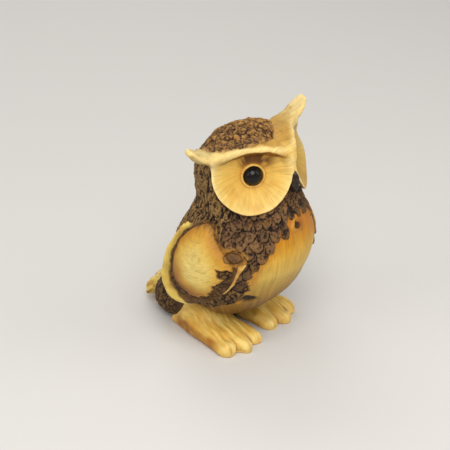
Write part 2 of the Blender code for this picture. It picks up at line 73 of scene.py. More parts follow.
def from_frame(p):
    share = (np.asarray(p, float) - CAD[0]) / (CAD[1] - CAD[0])
    return NOMINAL[0] + share * (NOMINAL[1] - NOMINAL[0])


def node_mid(node):
    lo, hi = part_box(node)
    return from_frame((np.array(lo) + np.array(hi)) / 2)


# z, half width, y front, y back, y of the widest point
BODY = np.array([
    (11.2, 5.8, -10.6, 3.4, -7.0), (12.4, 12.2, -15.6, 9.4, -7.5), (15.0, 18.1, -20.2, 13.7, -8.0),
    (19.5, 22.9, -26.0, 17.1, -8.5), (26.0, 27.2, -31.9, 19.2, -9.0), (33.5, 30.0, -35.9, 19.6, -9.5),
    (41.0, 30.9, -39.1, 18.6, -10.0), (49.0, 30.0, -40.5, 15.8, -10.5), (57.0, 27.0, -39.4, 11.2, -11.0),
    (63.5, 23.8, -36.3, 8.0, -11.5), (69.5, 22.0, -33.2, 7.2, -12.0), (76.5, 22.6, -31.8, 8.9, -12.5),
    (83.0, 21.9, -31.4, 8.3, -12.5), (88.5, 18.8, -29.2, 4.8, -12.5), (92.5, 15.5, -26.2, 1.2, -12.5),
    (95.3, 11.4, -22.2, -3.4, -12.5), (97.1, 6.6, -17.9, -8.0, -12.5), (97.8, 1.2, -13.4, -11.6, -12.5)])
RUMP, RUMP_R = np.array((0, 15.5, 9.4)), np.array((18.2, 15.4, 9.2))
NECK = 68.0

DISC_R, DISC_DEPTH, DISC_WALL = 17.0, 4.6, 2.0
DISC = {-1: np.array((-14.6, -26.9, 84.6)), 1: np.array((14.6, -26.9, 84.6))}
EYE_R = 4.0
EYE_OFF = (0.9, -1.4)   # eye's place in its disc: towards the beak, and up

# |x|, lip y, lip z, back y, back z, half thickness, further back on the left
BROW = np.array([
    (0, -34.4, 92.8, -24.8, 95.4, 2.2, 0), (5.2, -32.6, 93.7, -21.5, 96.0, 2.0, 0.6), (9, -29.7, 94.7, -18.5, 96.4, 1.9, 3.4),
    (13, -26.2, 94.8, -15.5, 96.0, 1.9, 3.2), (17.5, -22.1, 94.0, -12.5, 95.4, 2.0, 2.2), (22, -18.7, 92.9, -10.6, 95.2, 2.2, 1.0),
    (26, -16.6, 92.5, -9.6, 95.8, 2.4, 0.3), (29, -15.8, 92.8, -9.2, 96.8, 2.5, 0), (32, -15.3, 94.0, -9.2, 98.2, 2.5, 0),
    (34.6, -14.7, 95.9, -9.6, 99.3, 2.2, 0), (36.4, -13.9, 97.6, -10.4, 99.9, 1.6, 0)])
TUFT_X = 29.0
# how far back from the lip the crown's bark starts on the crest's top, by x: 0 at the lip, 1 at the back edge
BARK_FRONT = np.array([(-34, 1.6), (-30, 1.2), (-28.5, 0.85), (-26, 0.50), (-22, 0.30), (-18, 0.21), (-14, 0.16), (-10, 0.33),
                       (-7, 0.53), (-4, 0.68), (-2, 0.78), (0, 0.98), (2, 1.3), (40, 1.6)])
BRIDGE = np.array([(76, -33.2, 1.6, 1.6), (80, -33.8, 1.8, 1.9), (84, -34.6, 1.7, 2.0), (87, -34.2, 2.2, 2.3),
                   (90.5, -32.6, 3.0, 3.0), (94, -31.0, 3.4, 3.2)])
BEAK = np.array([(84, 0.9, -37.0, -34), (82.8, 1.4, -38.2, -33.6), (81, 1.7, -38.9, -33.2), (79, 1.8, -39.0, -33),
                 (77.2, 1.5, -38.6, -33.4), (75.8, 1.0, -37.9, -34.0), (74.8, 0.5, -37.2, -35.0)])[::-1]

WING_MID = (-12.0, 43.0)
WING = np.array([
    (-2.7, 58.2, 3.6), (-0.4, 54.3, 4.6), (2.0, 50.4, 5.2), (3.2, 46.0, 6.0), (4.2, 41.5, 6.3), (5.6, 37.0, 6.6), (6.6, 32.6, 7.0),
    (6.0, 29.8, 7.4), (4.6, 27.6, 7.6), (2.6, 26.0, 7.4), (0.2, 24.6, 6.8), (-2.5, 23.8, 5.8), (-7.0, 24.6, 4.9), (-12.6, 27.2, 4.4),
    (-17.2, 29.8, 4.2), (-21.3, 32.9, 4.0), (-24.4, 36.2, 3.8), (-26.9, 40.2, 3.6), (-28.1, 43.6, 3.0), (-29.6, 46.8, 2.8),
    (-30.4, 49.8, 2.6), (-28.4, 52.6, 2.5), (-24.6, 53.8, 2.3), (-21.4, 54.8, 2.2), (-19.4, 57.0, 2.2), (-17.8, 59.4, 2.2),
    (-16.0, 62.0, 2.2), (-13.2, 63.0, 2.4), (-9.8, 61.8, 2.8), (-5.9, 59.6, 3.2)])
PAD = np.array([
    (-6.7, 57.3), (-10.4, 60.4), (-13.1, 61.7), (-15.4, 60.7), (-16.8, 57.9), (-18.8, 55.6), (-21.0, 53.3), (-23.2, 51.1),
    (-24.9, 49.0), (-26.0, 46.4), (-25.9, 43.1), (-24.4, 39.1), (-21.7, 35.3), (-18.3, 33.0), (-14.3, 31.5), (-10.4, 31.0),
    (-7.6, 31.9), (-4.8, 33.2), (-2.5, 34.8), (-1.4, 37.2), (-1.2, 40.6), (-1.4, 43.6), (-2.2, 47.9), (-3.2, 51.4), (-4.8, 54.5)])
# the left wing lacks the knot that swells the right one's front edge
WING_LEFT = WING.copy()
WING_LEFT[19:23] = [(-28.7, 47.0, 2.6), (-28.6, 49.8, 2.3), (-26.6, 51.8, 2.2), (-23.8, 53.0, 2.2)]
FLOOR = 1.3
PATCH = np.array([(-20.6, 46.4), (-22.4, 45.6), (-24.4, 46.2), (-27.4, 45.4), (-27.0, 40.2), (-24.0, 35.0), (-18.8, 30.6), (-12.0, 28.6),
                  (-5.0, 29.2), (-8.6, 31.2), (-13.2, 32.4), (-16.2, 34.2), (-18.4, 36.6), (-19.4, 39.0), (-21.0, 40.8), (-23.0, 42.4), (-21.4, 43.8), (-21.8, 45.0)])
KNOT_MID, KNOT_R = np.array((-25.7, 50.9)), np.array((3.0, 2.0))

TOES = (((-14.2, 17), (-22.9, -23.2), (3.4, 5.0, 3.9), (5.5, 10.5, 6.2)),
        ((-11.5, 12), (-14.9, -27.2), (3.4, 4.4, 3.5), (6, 10, 5.6)),
        ((-7.6, 8), (-6.7, -25.6), (3.2, 4.6, 3.6), (6, 9, 5.2)))
ANKLE, ANKLE_R = np.array((-12.6, 1.0, 8.1)), np.array((8.6, 11.5, 8.2))
TAIL = np.array([(22, 9.6, 8.4, 18.6), (26, 10.8, 6.8, 18.2), (30, 12.0, 4.6, 17.2), (33.5, 13.0, 2.6, 15.2),
                 (36.2, 13.2, 1.6, 12.4), (38, 12.2, 1.8, 9.6), (38.9, 10.4, 2.8, 7.6)])


# ------------------------------------------------------------------ small maths
def pchip(x, y, q):
    """Monotone cubic through the table's points."""
    x, y = np.asarray(x, float), np.asarray(y, float)
    q = np.clip(np.asarray(q, float), x[0], x[-1])
    h = np.diff(x)
    d = np.diff(y) / h
    m = np.concatenate([[d[0]], np.zeros(len(x) - 2), [d[-1]]])
    for i in range(1, len(x) - 1):
        if d[i - 1] * d[i] > 0:
            a, b = 2 * h[i] + h[i - 1], h[i] + 2 * h[i - 1]
            m[i] = (a + b) / (a / d[i - 1] + b / d[i])
    k = np.clip(np.searchsorted(x, q) - 1, 0, len(x) - 2)
    t = (q - x[k]) / h[k]
    return ((1 + 2 * t) * (1 - t) ** 2 * y[k] + t * (1 - t) ** 2 * h[k] * m[k]
            + t * t * (3 - 2 * t) * y[k + 1] + t * t * (t - 1) * h[k] * m[k + 1])


def step(a, b, x):
    t = np.clip((np.asarray(x, float) - a) / (b - a), 0, 1)
    return t * t * (3 - 2 * t)


def mix(a, b, t):
    t = np.asarray(t, float)[..., None]
    return np.asarray(a, float) * (1 - t) + np.asarray(b, float) * t


def ramp(x, stops):
    """Colour along x from (position, colour) stops."""
    at = [s[0] for s in stops]
    return np.stack([np.interp(x, at, [s[1][c] for s in stops]) for c in range(3)], -1)


def smin(a, b, k):
    h = np.clip(0.5 + 0.5 * (b - a) / k, 0, 1)
    return b + (a - b) * h - k * h * (1 - h)


def smax(a, b, k):
    return -smin(-a, -b, k)


def chance(i, j, k, seed):
    """A repeatable random number from 0 to 1 for each whole-number triple."""
    i, j, k = (np.asarray(v).astype(np.int64) for v in (i, j, k))
    h = (i * 73856093) ^ (j * 19349663) ^ (k * 83492791) ^ (seed * 2654435761)
    h &= 0xFFFFFFFF
    h = ((h ^ (h >> 15)) * 0x2C1B3C6D) & 0xFFFFFFFF
    h = ((h ^ (h >> 12)) * 0x297A2D39) & 0xFFFFFFFF
    return ((h ^ (h >> 15)) & 0xFFFFFF) / float(0x1000000)


def noise(p, size, seed=0):
    """Smooth value noise from -1 to 1, one bump per size in mm."""
    q = np.asarray(p, float) / np.asarray(size, float)
    i = np.floor(q).astype(np.int64)
    f = q - i
    f = f * f * f * (f * (f * 6 - 15) + 10)
    out = 0.0
    for a in (0, 1):
        for b in (0, 1):
            for c in (0, 1):
                w = (f[..., 0] if a else 1 - f[..., 0]) * (f[..., 1] if b else 1 - f[..., 1]) * (f[..., 2] if c else 1 - f[..., 2])
                out = out + w * chance(i[..., 0] + a, i[..., 1] + b, i[..., 2] + c, seed)
    return out * 2 - 1


def fbm(p, size, seed=0, octaves=3, gain=0.55):
    size = np.asarray(size, float)
    total, weight, out = 0.0, 1.0, 0.0
    for o in range(octaves):
        out = out + noise(p, size / 2.03 ** o, seed + 17 * o) * weight
        total += weight
        weight *= gain
    return out / total * 1.6


def cells(p, size, seed=0):
    """Distances to the nearest and second nearest scattered point, in cell sizes, and a random number for the nearest."""
    q = np.asarray(p, float) / np.asarray(size, float)
    base = np.floor(q).astype(np.int64)
    f1 = np.full(len(q), 9.0)
    f2 = np.full(len(q), 9.0)
    tag = np.zeros(len(q))
    for a in (-1, 0, 1):
        for b in (-1, 0, 1):
            for c in (-1, 0, 1):
                i, j, k = base[:, 0] + a, base[:, 1] + b, base[:, 2] + c
                d = np.sqrt((i + chance(i, j, k, seed) - q[:, 0]) ** 2 + (j + chance(i, j, k, seed + 1) - q[:, 1]) ** 2
                            + (k + chance(i, j, k, seed + 2) - q[:, 2]) ** 2)
                near = d < f1
                f2 = np.where(near, f1, np.minimum(f2, d))
                tag = np.where(near, chance(i, j, k, seed + 3), tag)
                f1 = np.where(near, d, f1)
    return f1, f2, tag


def polygon_distance(p, poly):
    """Signed distance in the plane, negative inside."""
    best = np.full(len(p), 1e9)
    inside = np.zeros(len(p), bool)
    for a, b in zip(poly, np.roll(poly, -1, 0)):
        e, w = b - a, p - a
        t = np.clip((w @ e) / (e @ e), 0, 1)
        best = np.minimum(best, np.hypot(*(w - t[:, None] * e).T))
        crosses = (a[1] > p[:, 1]) != (b[1] > p[:, 1])
        with np.errstate(divide="ignore", invalid="ignore"):
            x = a[0] + (p[:, 1] - a[1]) * e[0] / (e[1] if e[1] else 1e-9)
        inside ^= crosses & (p[:, 0] < x)
    return np.where(inside, -best, best)


# ------------------------------------------------------------------ meshes
def grid_axes(lo, hi, size):
    return [np.arange(a, b + size, size) for a, b in zip(lo, hi)]


def true_distance(d, size):
    g = np.gradient(d, size)
    return d / np.maximum(np.sqrt(g[0] ** 2 + g[1] ** 2 + g[2] ** 2), 0.25)


def skin(f, lo, size):
    """Evenly spaced quads on the surface where the field f is zero."""
    inside = f < 0
    total = np.zeros(tuple(n - 1 for n in f.shape), np.uint8)
    corner = [(a, b, c) for a in (0, 1) for b in (0, 1) for c in (0, 1)]
    nx, ny, nz = total.shape
    for a, b, c in corner:
        total += inside[a:a + nx, b:b + ny, c:c + nz]
    at = np.argwhere((total > 0) & (total < 8))
    index = np.full(total.shape, -1, np.int64)
    index[at[:, 0], at[:, 1], at[:, 2]] = np.arange(len(at))
    value = {k: f[at[:, 0] + k[0], at[:, 1] + k[1], at[:, 2] + k[2]].astype(float) for k in corner}
    place, count = np.zeros((len(at), 3)), np.zeros(len(at))
    for axis in range(3):
        for k in corner:
            if k[axis]:
                continue
            other = tuple(1 if n == axis else v for n, v in enumerate(k))
            u, v = value[k], value[other]
            hit = (u < 0) != (v < 0)
            t = np.where(hit, u / np.where(hit, u - v, 1), 0)
            point = np.tile(np.array(k, float), (len(at), 1))
            point[:, axis] = t
            place += point * hit[:, None]
            count += hit
    verts = (place / count[:, None] + at) * size + np.asarray(lo, float)
    quads = []
    for axis in range(3):
        near = np.take(inside, range(0, f.shape[axis] - 1), axis)
        far = np.take(inside, range(1, f.shape[axis]), axis)
        e = np.argwhere(near != far)
        o1, o2 = (axis + 1) % 3, (axis + 2) % 3
        e = e[(e[:, o1] > 0) & (e[:, o2] > 0) & (e[:, o1] < f.shape[o1] - 1) & (e[:, o2] < f.shape[o2] - 1)]
        ring = []
        for s1, s2 in ((-1, -1), (0, -1), (0, 0), (-1, 0)):
            c = e.copy()
            c[:, o1] += s1
            c[:, o2] += s2
            ring.append(index[c[:, 0], c[:, 1], c[:, 2]])
        q = np.stack(ring, 1)
        out = near[e[:, 0], e[:, 1], e[:, 2]]
        quads.append(np.where(out[:, None], q, q[:, ::-1]))
    quads = np.concatenate(quads)
    return verts, quads[(quads >= 0).all(1)]


def normals_of(v, q):
    n = np.cross(v[q[:, 2]] - v[q[:, 0]], v[q[:, 3]] - v[q[:, 1]])
    out = np.stack([np.bincount(q.ravel(), np.repeat(n[:, c], 4), len(v)) for c in range(3)], 1)
    return out / np.maximum(np.linalg.norm(out, axis=1), 1e-9)[:, None]


def spread(values, q, count, rounds=1, share=0.6):
    """Averages values over neighbouring points."""
    a, b = q.ravel(), np.roll(q, -1, 1).ravel()
    a, b = np.concatenate([a, b]), np.concatenate([b, a])
    degree = np.maximum(np.bincount(a, minlength=count), 1)
    x = np.asarray(values, float)
    flat = x.ndim == 1
    x = x[:, None] if flat else x.copy()
    for _ in range(rounds):
        mean = np.stack([np.bincount(a, x[b, c], count) / degree for c in range(x.shape[1])], 1)
        x = x + (mean - x) * share
    return x[:, 0] if flat else x


def hollow(v, q, rounds=4):
    """Above 0 in hollows and below 0 on bumps, in mm against the softened surface."""
    n = normals_of(v, q)
    return ((spread(v, q, len(v), rounds) - v) * n).sum(1)


def hollow_shade_and_bump_highlight(rgb, low, gain=1.0, dark=0.62, light=1.20):
    """Darkens hollows and lightens bumps, laid on like a dark wash and dry-brushing: painted shade in the hollows and
    painted highlight on the bumps.
    """
    k = np.clip(low * gain, -1, 1)
    factor = np.where(k > 0, 1 - (1 - dark) * k, 1 - (light - 1) * k)
    return rgb * factor[:, None]


PIGMENT = np.array((0.90, 0.84, 0.60))  # the swatches are mixed a little warmer and deeper when laid on


def linear(rgb):
    c = np.clip(np.asarray(rgb, float) / 255, 0, 1)
    return np.where(c <= 0.04045, c / 12.92, ((c + 0.055) / 1.055) ** 2.4) * PIGMENT


def piece(name, v, q, rgb, grain, nodes, material, wear=None, normals=None):
    """One visible piece, riding on the owl's body and standing for its CAD nodes."""
    used, inverse = np.unique(q.ravel(), return_inverse=True)
    q = inverse.reshape(q.shape)
    v, rgb, grain = v[used], rgb[used], grain[used]
    mesh = bpy.data.meshes.new(name)
    mesh.vertices.add(len(v))
    mesh.vertices.foreach_set("co", to_frame(v).astype(np.float32).ravel())
    mesh.loops.add(q.size)
    mesh.loops.foreach_set("vertex_index", q.ravel().astype(np.int32))
    mesh.polygons.add(len(q))
    mesh.polygons.foreach_set("loop_start", np.arange(0, q.size, q.shape[1], dtype=np.int32))
    mesh.update(calc_edges=True)
    mesh.validate()
    mesh.polygons.foreach_set("use_smooth", np.ones(len(mesh.polygons), bool))
    if normals is not None and len(mesh.vertices) == len(v):
        mesh.normals_split_custom_set_from_vertices(normals[used].astype(np.float32))
    colour = mesh.attributes.new("Col", "FLOAT_COLOR", "POINT")
    colour.data.foreach_set("color", np.concatenate([linear(rgb), np.ones((len(v), 1))], 1).astype(np.float32).ravel())
    mesh.attributes.new("grain", "FLOAT_VECTOR", "POINT").data.foreach_set("vector", grain.astype(np.float32).ravel())
    w = np.zeros(len(v)) if wear is None else wear[used]
    mesh.attributes.new("bark", "FLOAT", "POINT").data.foreach_set("value", np.clip(w, 0, 1).astype(np.float32))
    mesh.materials.append(material)
    obj = bpy.data.objects.new(name, mesh)
    bpy.context.scene.collection.objects.link(obj)
    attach(obj, "root")
    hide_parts(*nodes)
    return obj


def sheet(rows, columns, closed=True, base=0):
    """Quads of a lattice of rows by columns, joined round."""
    k = np.arange(columns)
    nxt = (k + 1) % columns
    return np.concatenate([np.stack([r * columns + k, r * columns + nxt, (r + 1) * columns + nxt, (r + 1) * columns + k], 1)
                           for r in range(rows - 1)]) + base


# ------------------------------------------------------------------ materials
def painted(name, rough=0.52, streak=(2.4, 0.22), streak_amount=0.16, speck_amount=0.14, bump=0.35, bark_bump=0.9, coat=0.0,
            streak_colour=(0.42, 0.20, 0.06)):
    """Hand-painted resin: the sculpted colours, then brushed streaks along the carving, specks of wash, and worn sheen."""
    m = bpy.data.materials.new(name)
    m.use_nodes = True
    t = m.node_tree
    n, link = t.nodes, t.links
    shader = n["Principled BSDF"]

    def node(kind, **sockets):
        x = n.new(kind)
        for k, v in sockets.items():
            x.inputs[k.replace("_", " ")].default_value = v
        return x

    def maths(op, a, b=None, c=None, clamp=False):
        x = n.new("ShaderNodeMath")
        x.operation = op
        x.use_clamp = clamp
        for i, v in enumerate((a, b, c)):
            if v is None:
                continue
            if isinstance(v, (int, float)):
                x.inputs[i].default_value = v
            else:
                link.new(v, x.inputs[i])
        return x.outputs[0]

    def attribute(kind, output):
        x = n.new("ShaderNodeAttribute")
        x.attribute_name = kind
        return x.outputs[output]

    def noise_of(vector, scale, detail=4.0, rough=0.6):
        x = node("ShaderNodeTexNoise", Scale=scale, Detail=detail, Roughness=rough)
        link.new(vector, x.inputs["Vector"])
        return x.outputs["Fac"]

    def times(vector, by):
        x = n.new("ShaderNodeVectorMath")
        x.operation = "MULTIPLY"
        link.new(vector, x.inputs[0])
        x.inputs[1].default_value = by
        return x.outputs[0]

    def blend(kind, factor, a, b):
        x = n.new("ShaderNodeMix")
        x.data_type = "RGBA"
        x.blend_type = kind
        for socket, v in zip((x.inputs[0], x.inputs[6], x.inputs[7]), (factor, a, b)):
            if isinstance(v, (int, float)):
                socket.default_value = v
            elif isinstance(v, tuple):
                socket.default_value = (*v, 1.0)
            else:
                link.new(v, socket)
        return x.outputs[2]

    where = n.new("ShaderNodeTexCoord").outputs["Object"]
    grain, bark = attribute("grain", "Vector"), attribute("bark", "Fac")
    wood = maths("SUBTRACT", 1.0, bark, clamp=True)
    fine = noise_of(times(grain, (streak[0], streak[1], 1.0)), 1.0, 5.0, 0.62)
    broad = noise_of(times(grain, (streak[0] * 0.3, streak[1] * 0.5, 1.0)), 1.0, 3.0, 0.5)
    speck = noise_of(where, 2100.0, 3.0, 0.7)
    cloud = noise_of(where, 260.0, 4.0, 0.6)

    line = maths("MULTIPLY", maths("SMOOTH_MIN", maths("SUBTRACT", fine, 0.40), 0.0, 0.05), -6.0, clamp=True)
    colour = blend("MIX", maths("MULTIPLY", maths("MULTIPLY", line, wood), streak_amount * 3.0, clamp=True), attribute("Col", "Color"), streak_colour)
    shade = maths("MULTIPLY_ADD", maths("SUBTRACT", fine, 0.5), streak_amount * 2.2, 1.0)
    shade = maths("MULTIPLY", shade, maths("MULTIPLY_ADD", maths("SUBTRACT", broad, 0.5), streak_amount * 1.6, 1.0))
    shade = maths("MULTIPLY", shade, maths("MULTIPLY_ADD", maths("SUBTRACT", cloud, 0.5), 0.34, 1.0))
    spot = maths("MULTIPLY", speck_amount, maths("MULTIPLY_ADD", bark, 1.9, 1.0))
    shade = maths("MULTIPLY", shade, maths("MULTIPLY_ADD", maths("SUBTRACT", speck, 0.5), maths("MULTIPLY", spot, 2.0), 1.0))
    grey = n.new("ShaderNodeCombineColor")
    for i in range(3):
        link.new(shade, grey.inputs[i])
    colour = blend("MULTIPLY", 1.0, colour, grey.outputs[0])
    link.new(colour, shader.inputs["Base Color"])

    sheen = maths("MULTIPLY_ADD", maths("SUBTRACT", cloud, 0.5), 0.30, rough)
    sheen = maths("ADD", sheen, maths("MULTIPLY", bark, 0.22))
    sheen = maths("ADD", sheen, maths("MULTIPLY", maths("SUBTRACT", speck, 0.5), 0.25), clamp=True)
    link.new(sheen, shader.inputs["Roughness"])
    shader.inputs["Specular IOR Level"].default_value = 0.28
    if coat:
        shader.inputs["Coat Weight"].default_value = coat
        shader.inputs["Coat Roughness"].default_value = 0.22

    relief = maths("MULTIPLY_ADD", fine, wood, maths("MULTIPLY", maths("MULTIPLY", speck, bark), 2.2))
    relief = maths("ADD", relief, maths("MULTIPLY", speck, 0.30))
    bumps = node("ShaderNodeBump", Strength=bump, Distance=0.00022)
    link.new(relief, bumps.inputs["Height"])
    link.new(maths("MULTIPLY_ADD", bark, bark_bump - bump, bump), bumps.inputs["Strength"])
    link.new(bumps.outputs["Normal"], shader.inputs["Normal"])
    return m


def glossy(name, colour, rough, fleck):
    """Near-black glazed bead or beak, with faint dust and fine scratches in its sheen."""
    m = bpy.data.materials.new(name)
    m.use_nodes = True
    n, link = m.node_tree.nodes, m.node_tree.links
    shader = n["Principled BSDF"]
    where = n.new("ShaderNodeTexCoord").outputs["Object"]
    dust = n.new("ShaderNodeTexNoise")
    dust.inputs["Scale"].default_value = 900.0
    dust.inputs["Detail"].default_value = 4.0
    link.new(where, dust.inputs["Vector"])
    tone = n.new("ShaderNodeValToRGB")
    tone.color_ramp.elements[0].position = 0.42
    tone.color_ramp.elements[0].color = (*colour, 1)
    tone.color_ramp.elements[1].position = 0.78
    tone.color_ramp.elements[1].color = (*fleck, 1)
    link.new(dust.outputs["Fac"], tone.inputs["Fac"])
    link.new(tone.outputs["Color"], shader.inputs["Base Color"])
    sheen = n.new("ShaderNodeMapRange")
    sheen.inputs["To Min"].default_value = rough * 0.6
    sheen.inputs["To Max"].default_value = rough * 1.8
    link.new(dust.outputs["Fac"], sheen.inputs["Value"])
    link.new(sheen.outputs["Result"], shader.inputs["Roughness"])
    bumps = n.new("ShaderNodeBump")
    bumps.inputs["Strength"].default_value = 0.12
    bumps.inputs["Distance"].default_value = 0.0001
    link.new(dust.outputs["Fac"], bumps.inputs["Height"])
    link.new(bumps.outputs["Normal"], shader.inputs["Normal"])
    shader.inputs["Specular IOR Level"].default_value = 0.16
    shader.inputs["Coat Weight"].default_value = 0.12
    shader.inputs["Coat Roughness"].default_value = 0.05
    return m


BARK_PAINT = painted("bark_and_belly_paint", rough=0.50, streak=(4.2, 0.15), streak_amount=0.30)
HEAD_PAINT = painted("head_bark_paint", rough=0.56, streak=(2.2, 0.2), streak_amount=0.12)
FACE_PAINT = painted("face_wood_paint", rough=0.46, streak=(3.8, 0.12), streak_amount=0.27, speck_amount=0.08, bump=0.30)
TIP_PAINT = painted("cream_tip_paint", rough=0.50, streak=(1.6, 0.2), streak_amount=0.10, speck_amount=0.10, bump=0.4)
WING_PAINT = painted("wing_wood_paint", rough=0.46, streak=(2.0, 0.30), streak_amount=0.18, speck_amount=0.10, bump=0.35)
FOOT_PAINT = painted("foot_wood_paint", rough=0.46, streak=(2.4, 0.16), streak_amount=0.21, speck_amount=0.09, bump=0.35)
TAIL_PAINT = painted("tail_wood_paint", rough=0.52, streak=(1.5, 0.16), streak_amount=0.16, speck_amount=0.14, bump=0.45)
EYE_PAINT = glossy("eye_bead_gloss", (0.006, 0.005, 0.005), 0.09, (0.014, 0.012, 0.011))
BEAK_PAINT = glossy("beak_gloss", (0.020, 0.012, 0.008), 0.26, (0.060, 0.040, 0.026))

# ------------------------------------------------------------------ painted colours
CREAM, PALE, HONEY, GOLD, AMBER = (238, 218, 172), (234, 206, 140), (226, 184, 96), (212, 158, 66), (186, 122, 40)
STAIN, UMBER = (112, 70, 26), (72, 46, 24)
BARK_DEEP, BARK_DARK, BARK_MID, BARK_LIGHT = (40, 26, 15), (74, 51, 33), (110, 81, 54), (158, 124, 84)


def bark_tone(k):
    return ramp(k, [(-1.0, BARK_DEEP), (-0.45, BARK_DARK), (0.15, BARK_MID), (1.0, BARK_LIGHT)])


# ------------------------------------------------------------------ the face discs' frames
def disc_axes(side):
    az, el = math.radians(36), math.radians(12)
    n = np.array((side * math.sin(az) * math.cos(el), -math.cos(az) * math.cos(el), math.sin(el)))
    inner = np.array((-side * math.cos(az), -math.sin(az), 0.0))
    up = np.cross(n, inner) * side
    if up[2] < 0:
        up = -up
    return inner, up / np.linalg.norm(up), n


def in_disc(p, side):
    """Position across towards the beak, up, and out of the disc's plane."""
    inner, up, out = disc_axes(side)
    w = p - DISC[side]
    return w @ inner, w @ up, w @ out


def bowl(r):
    return -DISC_DEPTH * (1 - (r / DISC_R) ** 2)


# ------------------------------------------------------------------ torso and head
def body_field(axes):
    x, y, z = (a.astype(np.float32) for a in axes)
    half, front, back, mid = (pchip(BODY[:, 0], BODY[:, i], z).astype(np.float32) for i in (1, 2, 3, 4))
    X, Y = x[:, None, None], y[None, :, None]
    dy = Y - mid
    reach = np.where(dy < 0, mid - front, back - mid)
    rho = np.sqrt((X / half) ** 2 + (dy / reach) ** 2) + 1e-6
    r = np.sqrt(X ** 2 + dy ** 2)
    d = r - r / rho
    d = np.maximum(d, np.maximum(z - 97.7, 11.35 - z)[None, None, :])
    d = true_distance(d, BODY_STEP)
    w = [np.abs((a - c) / s) for a, c, s in zip((X, Y, z[None, None, :]), RUMP, RUMP_R)]
    k = (w[0] ** 3 + w[1] ** 3 + w[2] ** 3 + 1e-6) ** (1 / 3)
    rump = (k - 1) * 11.0
    d = smin(d, rump, 3.0)
    for side in (-1, 1):
        inner, up, out = disc_axes(side)
        w = (X - DISC[side][0], Y - DISC[side][1], z[None, None, :] - DISC[side][2])
        s, u, n = (w[0] * a[0] + w[1] * a[1] + w[2] * a[2] for a in (inner, up, out))
        rr = np.sqrt(s * s + u * u)
        cut = np.maximum(rr - (DISC_R + 0.1), bowl(rr) - 1.1 - n)
        d = smax(d, -cut, 0.7)
    return d


def shingles(u, v, seed, keep):
    """Rows of overlapping rounded scales. u runs round and v up, in pitches.
    Gives height 0 to 1, the line under each lip (cut in as a groove and painted dark as the lip's shadow), a random
    tone for each scale, and where there are scales at all."""
    row = np.floor(v)
    found = np.zeros(len(u), bool)
    height, tone, line = np.zeros(len(u)), np.zeros(len(u)), np.zeros(len(u))
    for back in (0, 1):
        m = row - back
        shift = 0.5 * np.mod(m, 2)
        i = np.floor(u - shift + 0.5)
        c = i + shift + 0.26 * (chance(i, m, 0 * m, seed) - 0.5)
        tip = 0.40 * (chance(i, m, 0 * m, seed + 1) - 0.5)
        du = np.clip(np.abs(u - c) / 0.5, 0, 1)
        edge = 0.92 * (1 - np.sqrt(1 - du ** 2 * 0.985))
        t = v - m - tip - edge
        here = keep(c, m + 0.5)
        beside = keep(c + np.sign(u - c), m + 0.5)
        rounded = du ** 2 + ((v - m - tip - 0.9) / 0.95) ** 2 < 1.0
        own = here & (t >= 0) & (t < 2.2) & ~found & (beside | rounded)
        if back == 0:
            line = np.where(here & (t < 0), np.exp(-(t / 0.15) ** 2), 0)
        lean = (chance(i, m, 0 * m, seed + 5) - 0.5) * (u - c) * 1.1
        h = (1 - 0.60 * np.clip(t, 0, 1.2)) * (0.50 + 0.50 * step(0, 0.20, t)) - 0.40 * du ** 2 + lean + 0.22 * (chance(i, m, 0 * m, seed + 6) - 0.5)
        height = np.where(own, h, height)
        tone = np.where(own, chance(i, m, 0 * m, seed + 2) * 2 - 1, tone)
        found |= own
    return np.where(found, height, 0), np.where(found, line, line * 0.8), tone, found


BELLY = np.array([(11, 180), (12, 178), (20, 95), (24, 70), (27, 56), (30.5, 50), (34.6, 46.8), (39, 43.6), (46.4, 38.5), (48.8, 33),
                  (53.6, 27.5), (57.9, 20.3), (61.9, 8), (62.6, 0), (63, -30), (100, -90)])


def belly_edge(z, left=False):
    """Angle at which the bark starts; near the top the bare belly reaches further round on the left."""
    return np.interp(z, BELLY[:, 0], BELLY[:, 1]) + 15.0 * step(47, 54, z) * step(63, 60.5, z) * left


def round_body(p):
    """Angle round the body from straight ahead, in degrees, signed towards the left wing."""
    return np.degrees(np.arctan2(p[:, 0], -(p[:, 1] - pchip(BODY[:, 0], BODY[:, 4], p[:, 2]))))


def knot_shape(y, z):
    """How deep inside the oval knot a flank point is: 0 in the middle, 1 on its lip."""
    a = math.radians(-10)
    dy, dz = y - KNOT_MID[0], z - KNOT_MID[1]
    k = np.hypot((dy * math.cos(a) - dz * math.sin(a)) / KNOT_R[0], (dy * math.sin(a) + dz * math.cos(a)) / KNOT_R[1])
    return k * (1 + 0.05 * np.sin(2.2 * dy + 0.9 * dz + 1.0))


def knot_relief(y, z, x):
    k = np.where(x < -12, knot_shape(y, z), 9.0)
    return 0.16 * np.exp(-((k - 1.45) / 0.26) ** 2) - 0.45 * np.exp(-((k - 1.0) / 0.17) ** 2) + 0.15 * (1 - step(0.4, 0.85, k)), k


def crown_plates(p):
    """Height, a random number for each plate, and fine grit of the rough plates on the crown."""
    bent = p + 1.0 * np.stack([noise(p, 3.0, 31), noise(p, 3.0, 32), noise(p, 3.0, 33)], 1)
    near, next_, tag = cells(bent, (4.4, 4.4, 3.6), 40)
    grit = fbm(p, 1.7, 50, 3, 0.7)
    crack = np.clip((next_ - near) / 0.30, 0, 1)
    return 1.0 * (crack ** 0.6) * (0.5 + 0.9 * tag) + 0.55 * grit - 0.50, tag, grit


def crown_colour(k, tag):
    return bark_tone(k) * (mix((1, 1, 1), (1.16, 1.14, 1.06), 0.6 + 0.4 * tag))


lo, hi = (-32.5, -42.5, -1.0), (32.5, 32.5, 99.0)
axes = grid_axes(lo, hi, BODY_STEP)
verts, quads = skin(body_field(axes), lo, BODY_STEP)
verts = spread(verts, quads, len(verts), 1, 0.35)
normal = normals_of(verts, quads)
p = verts
phi, z = round_body(p), p[:, 2]
aphi = np.abs(phi)
side_mm = np.radians(phi) * 26.0

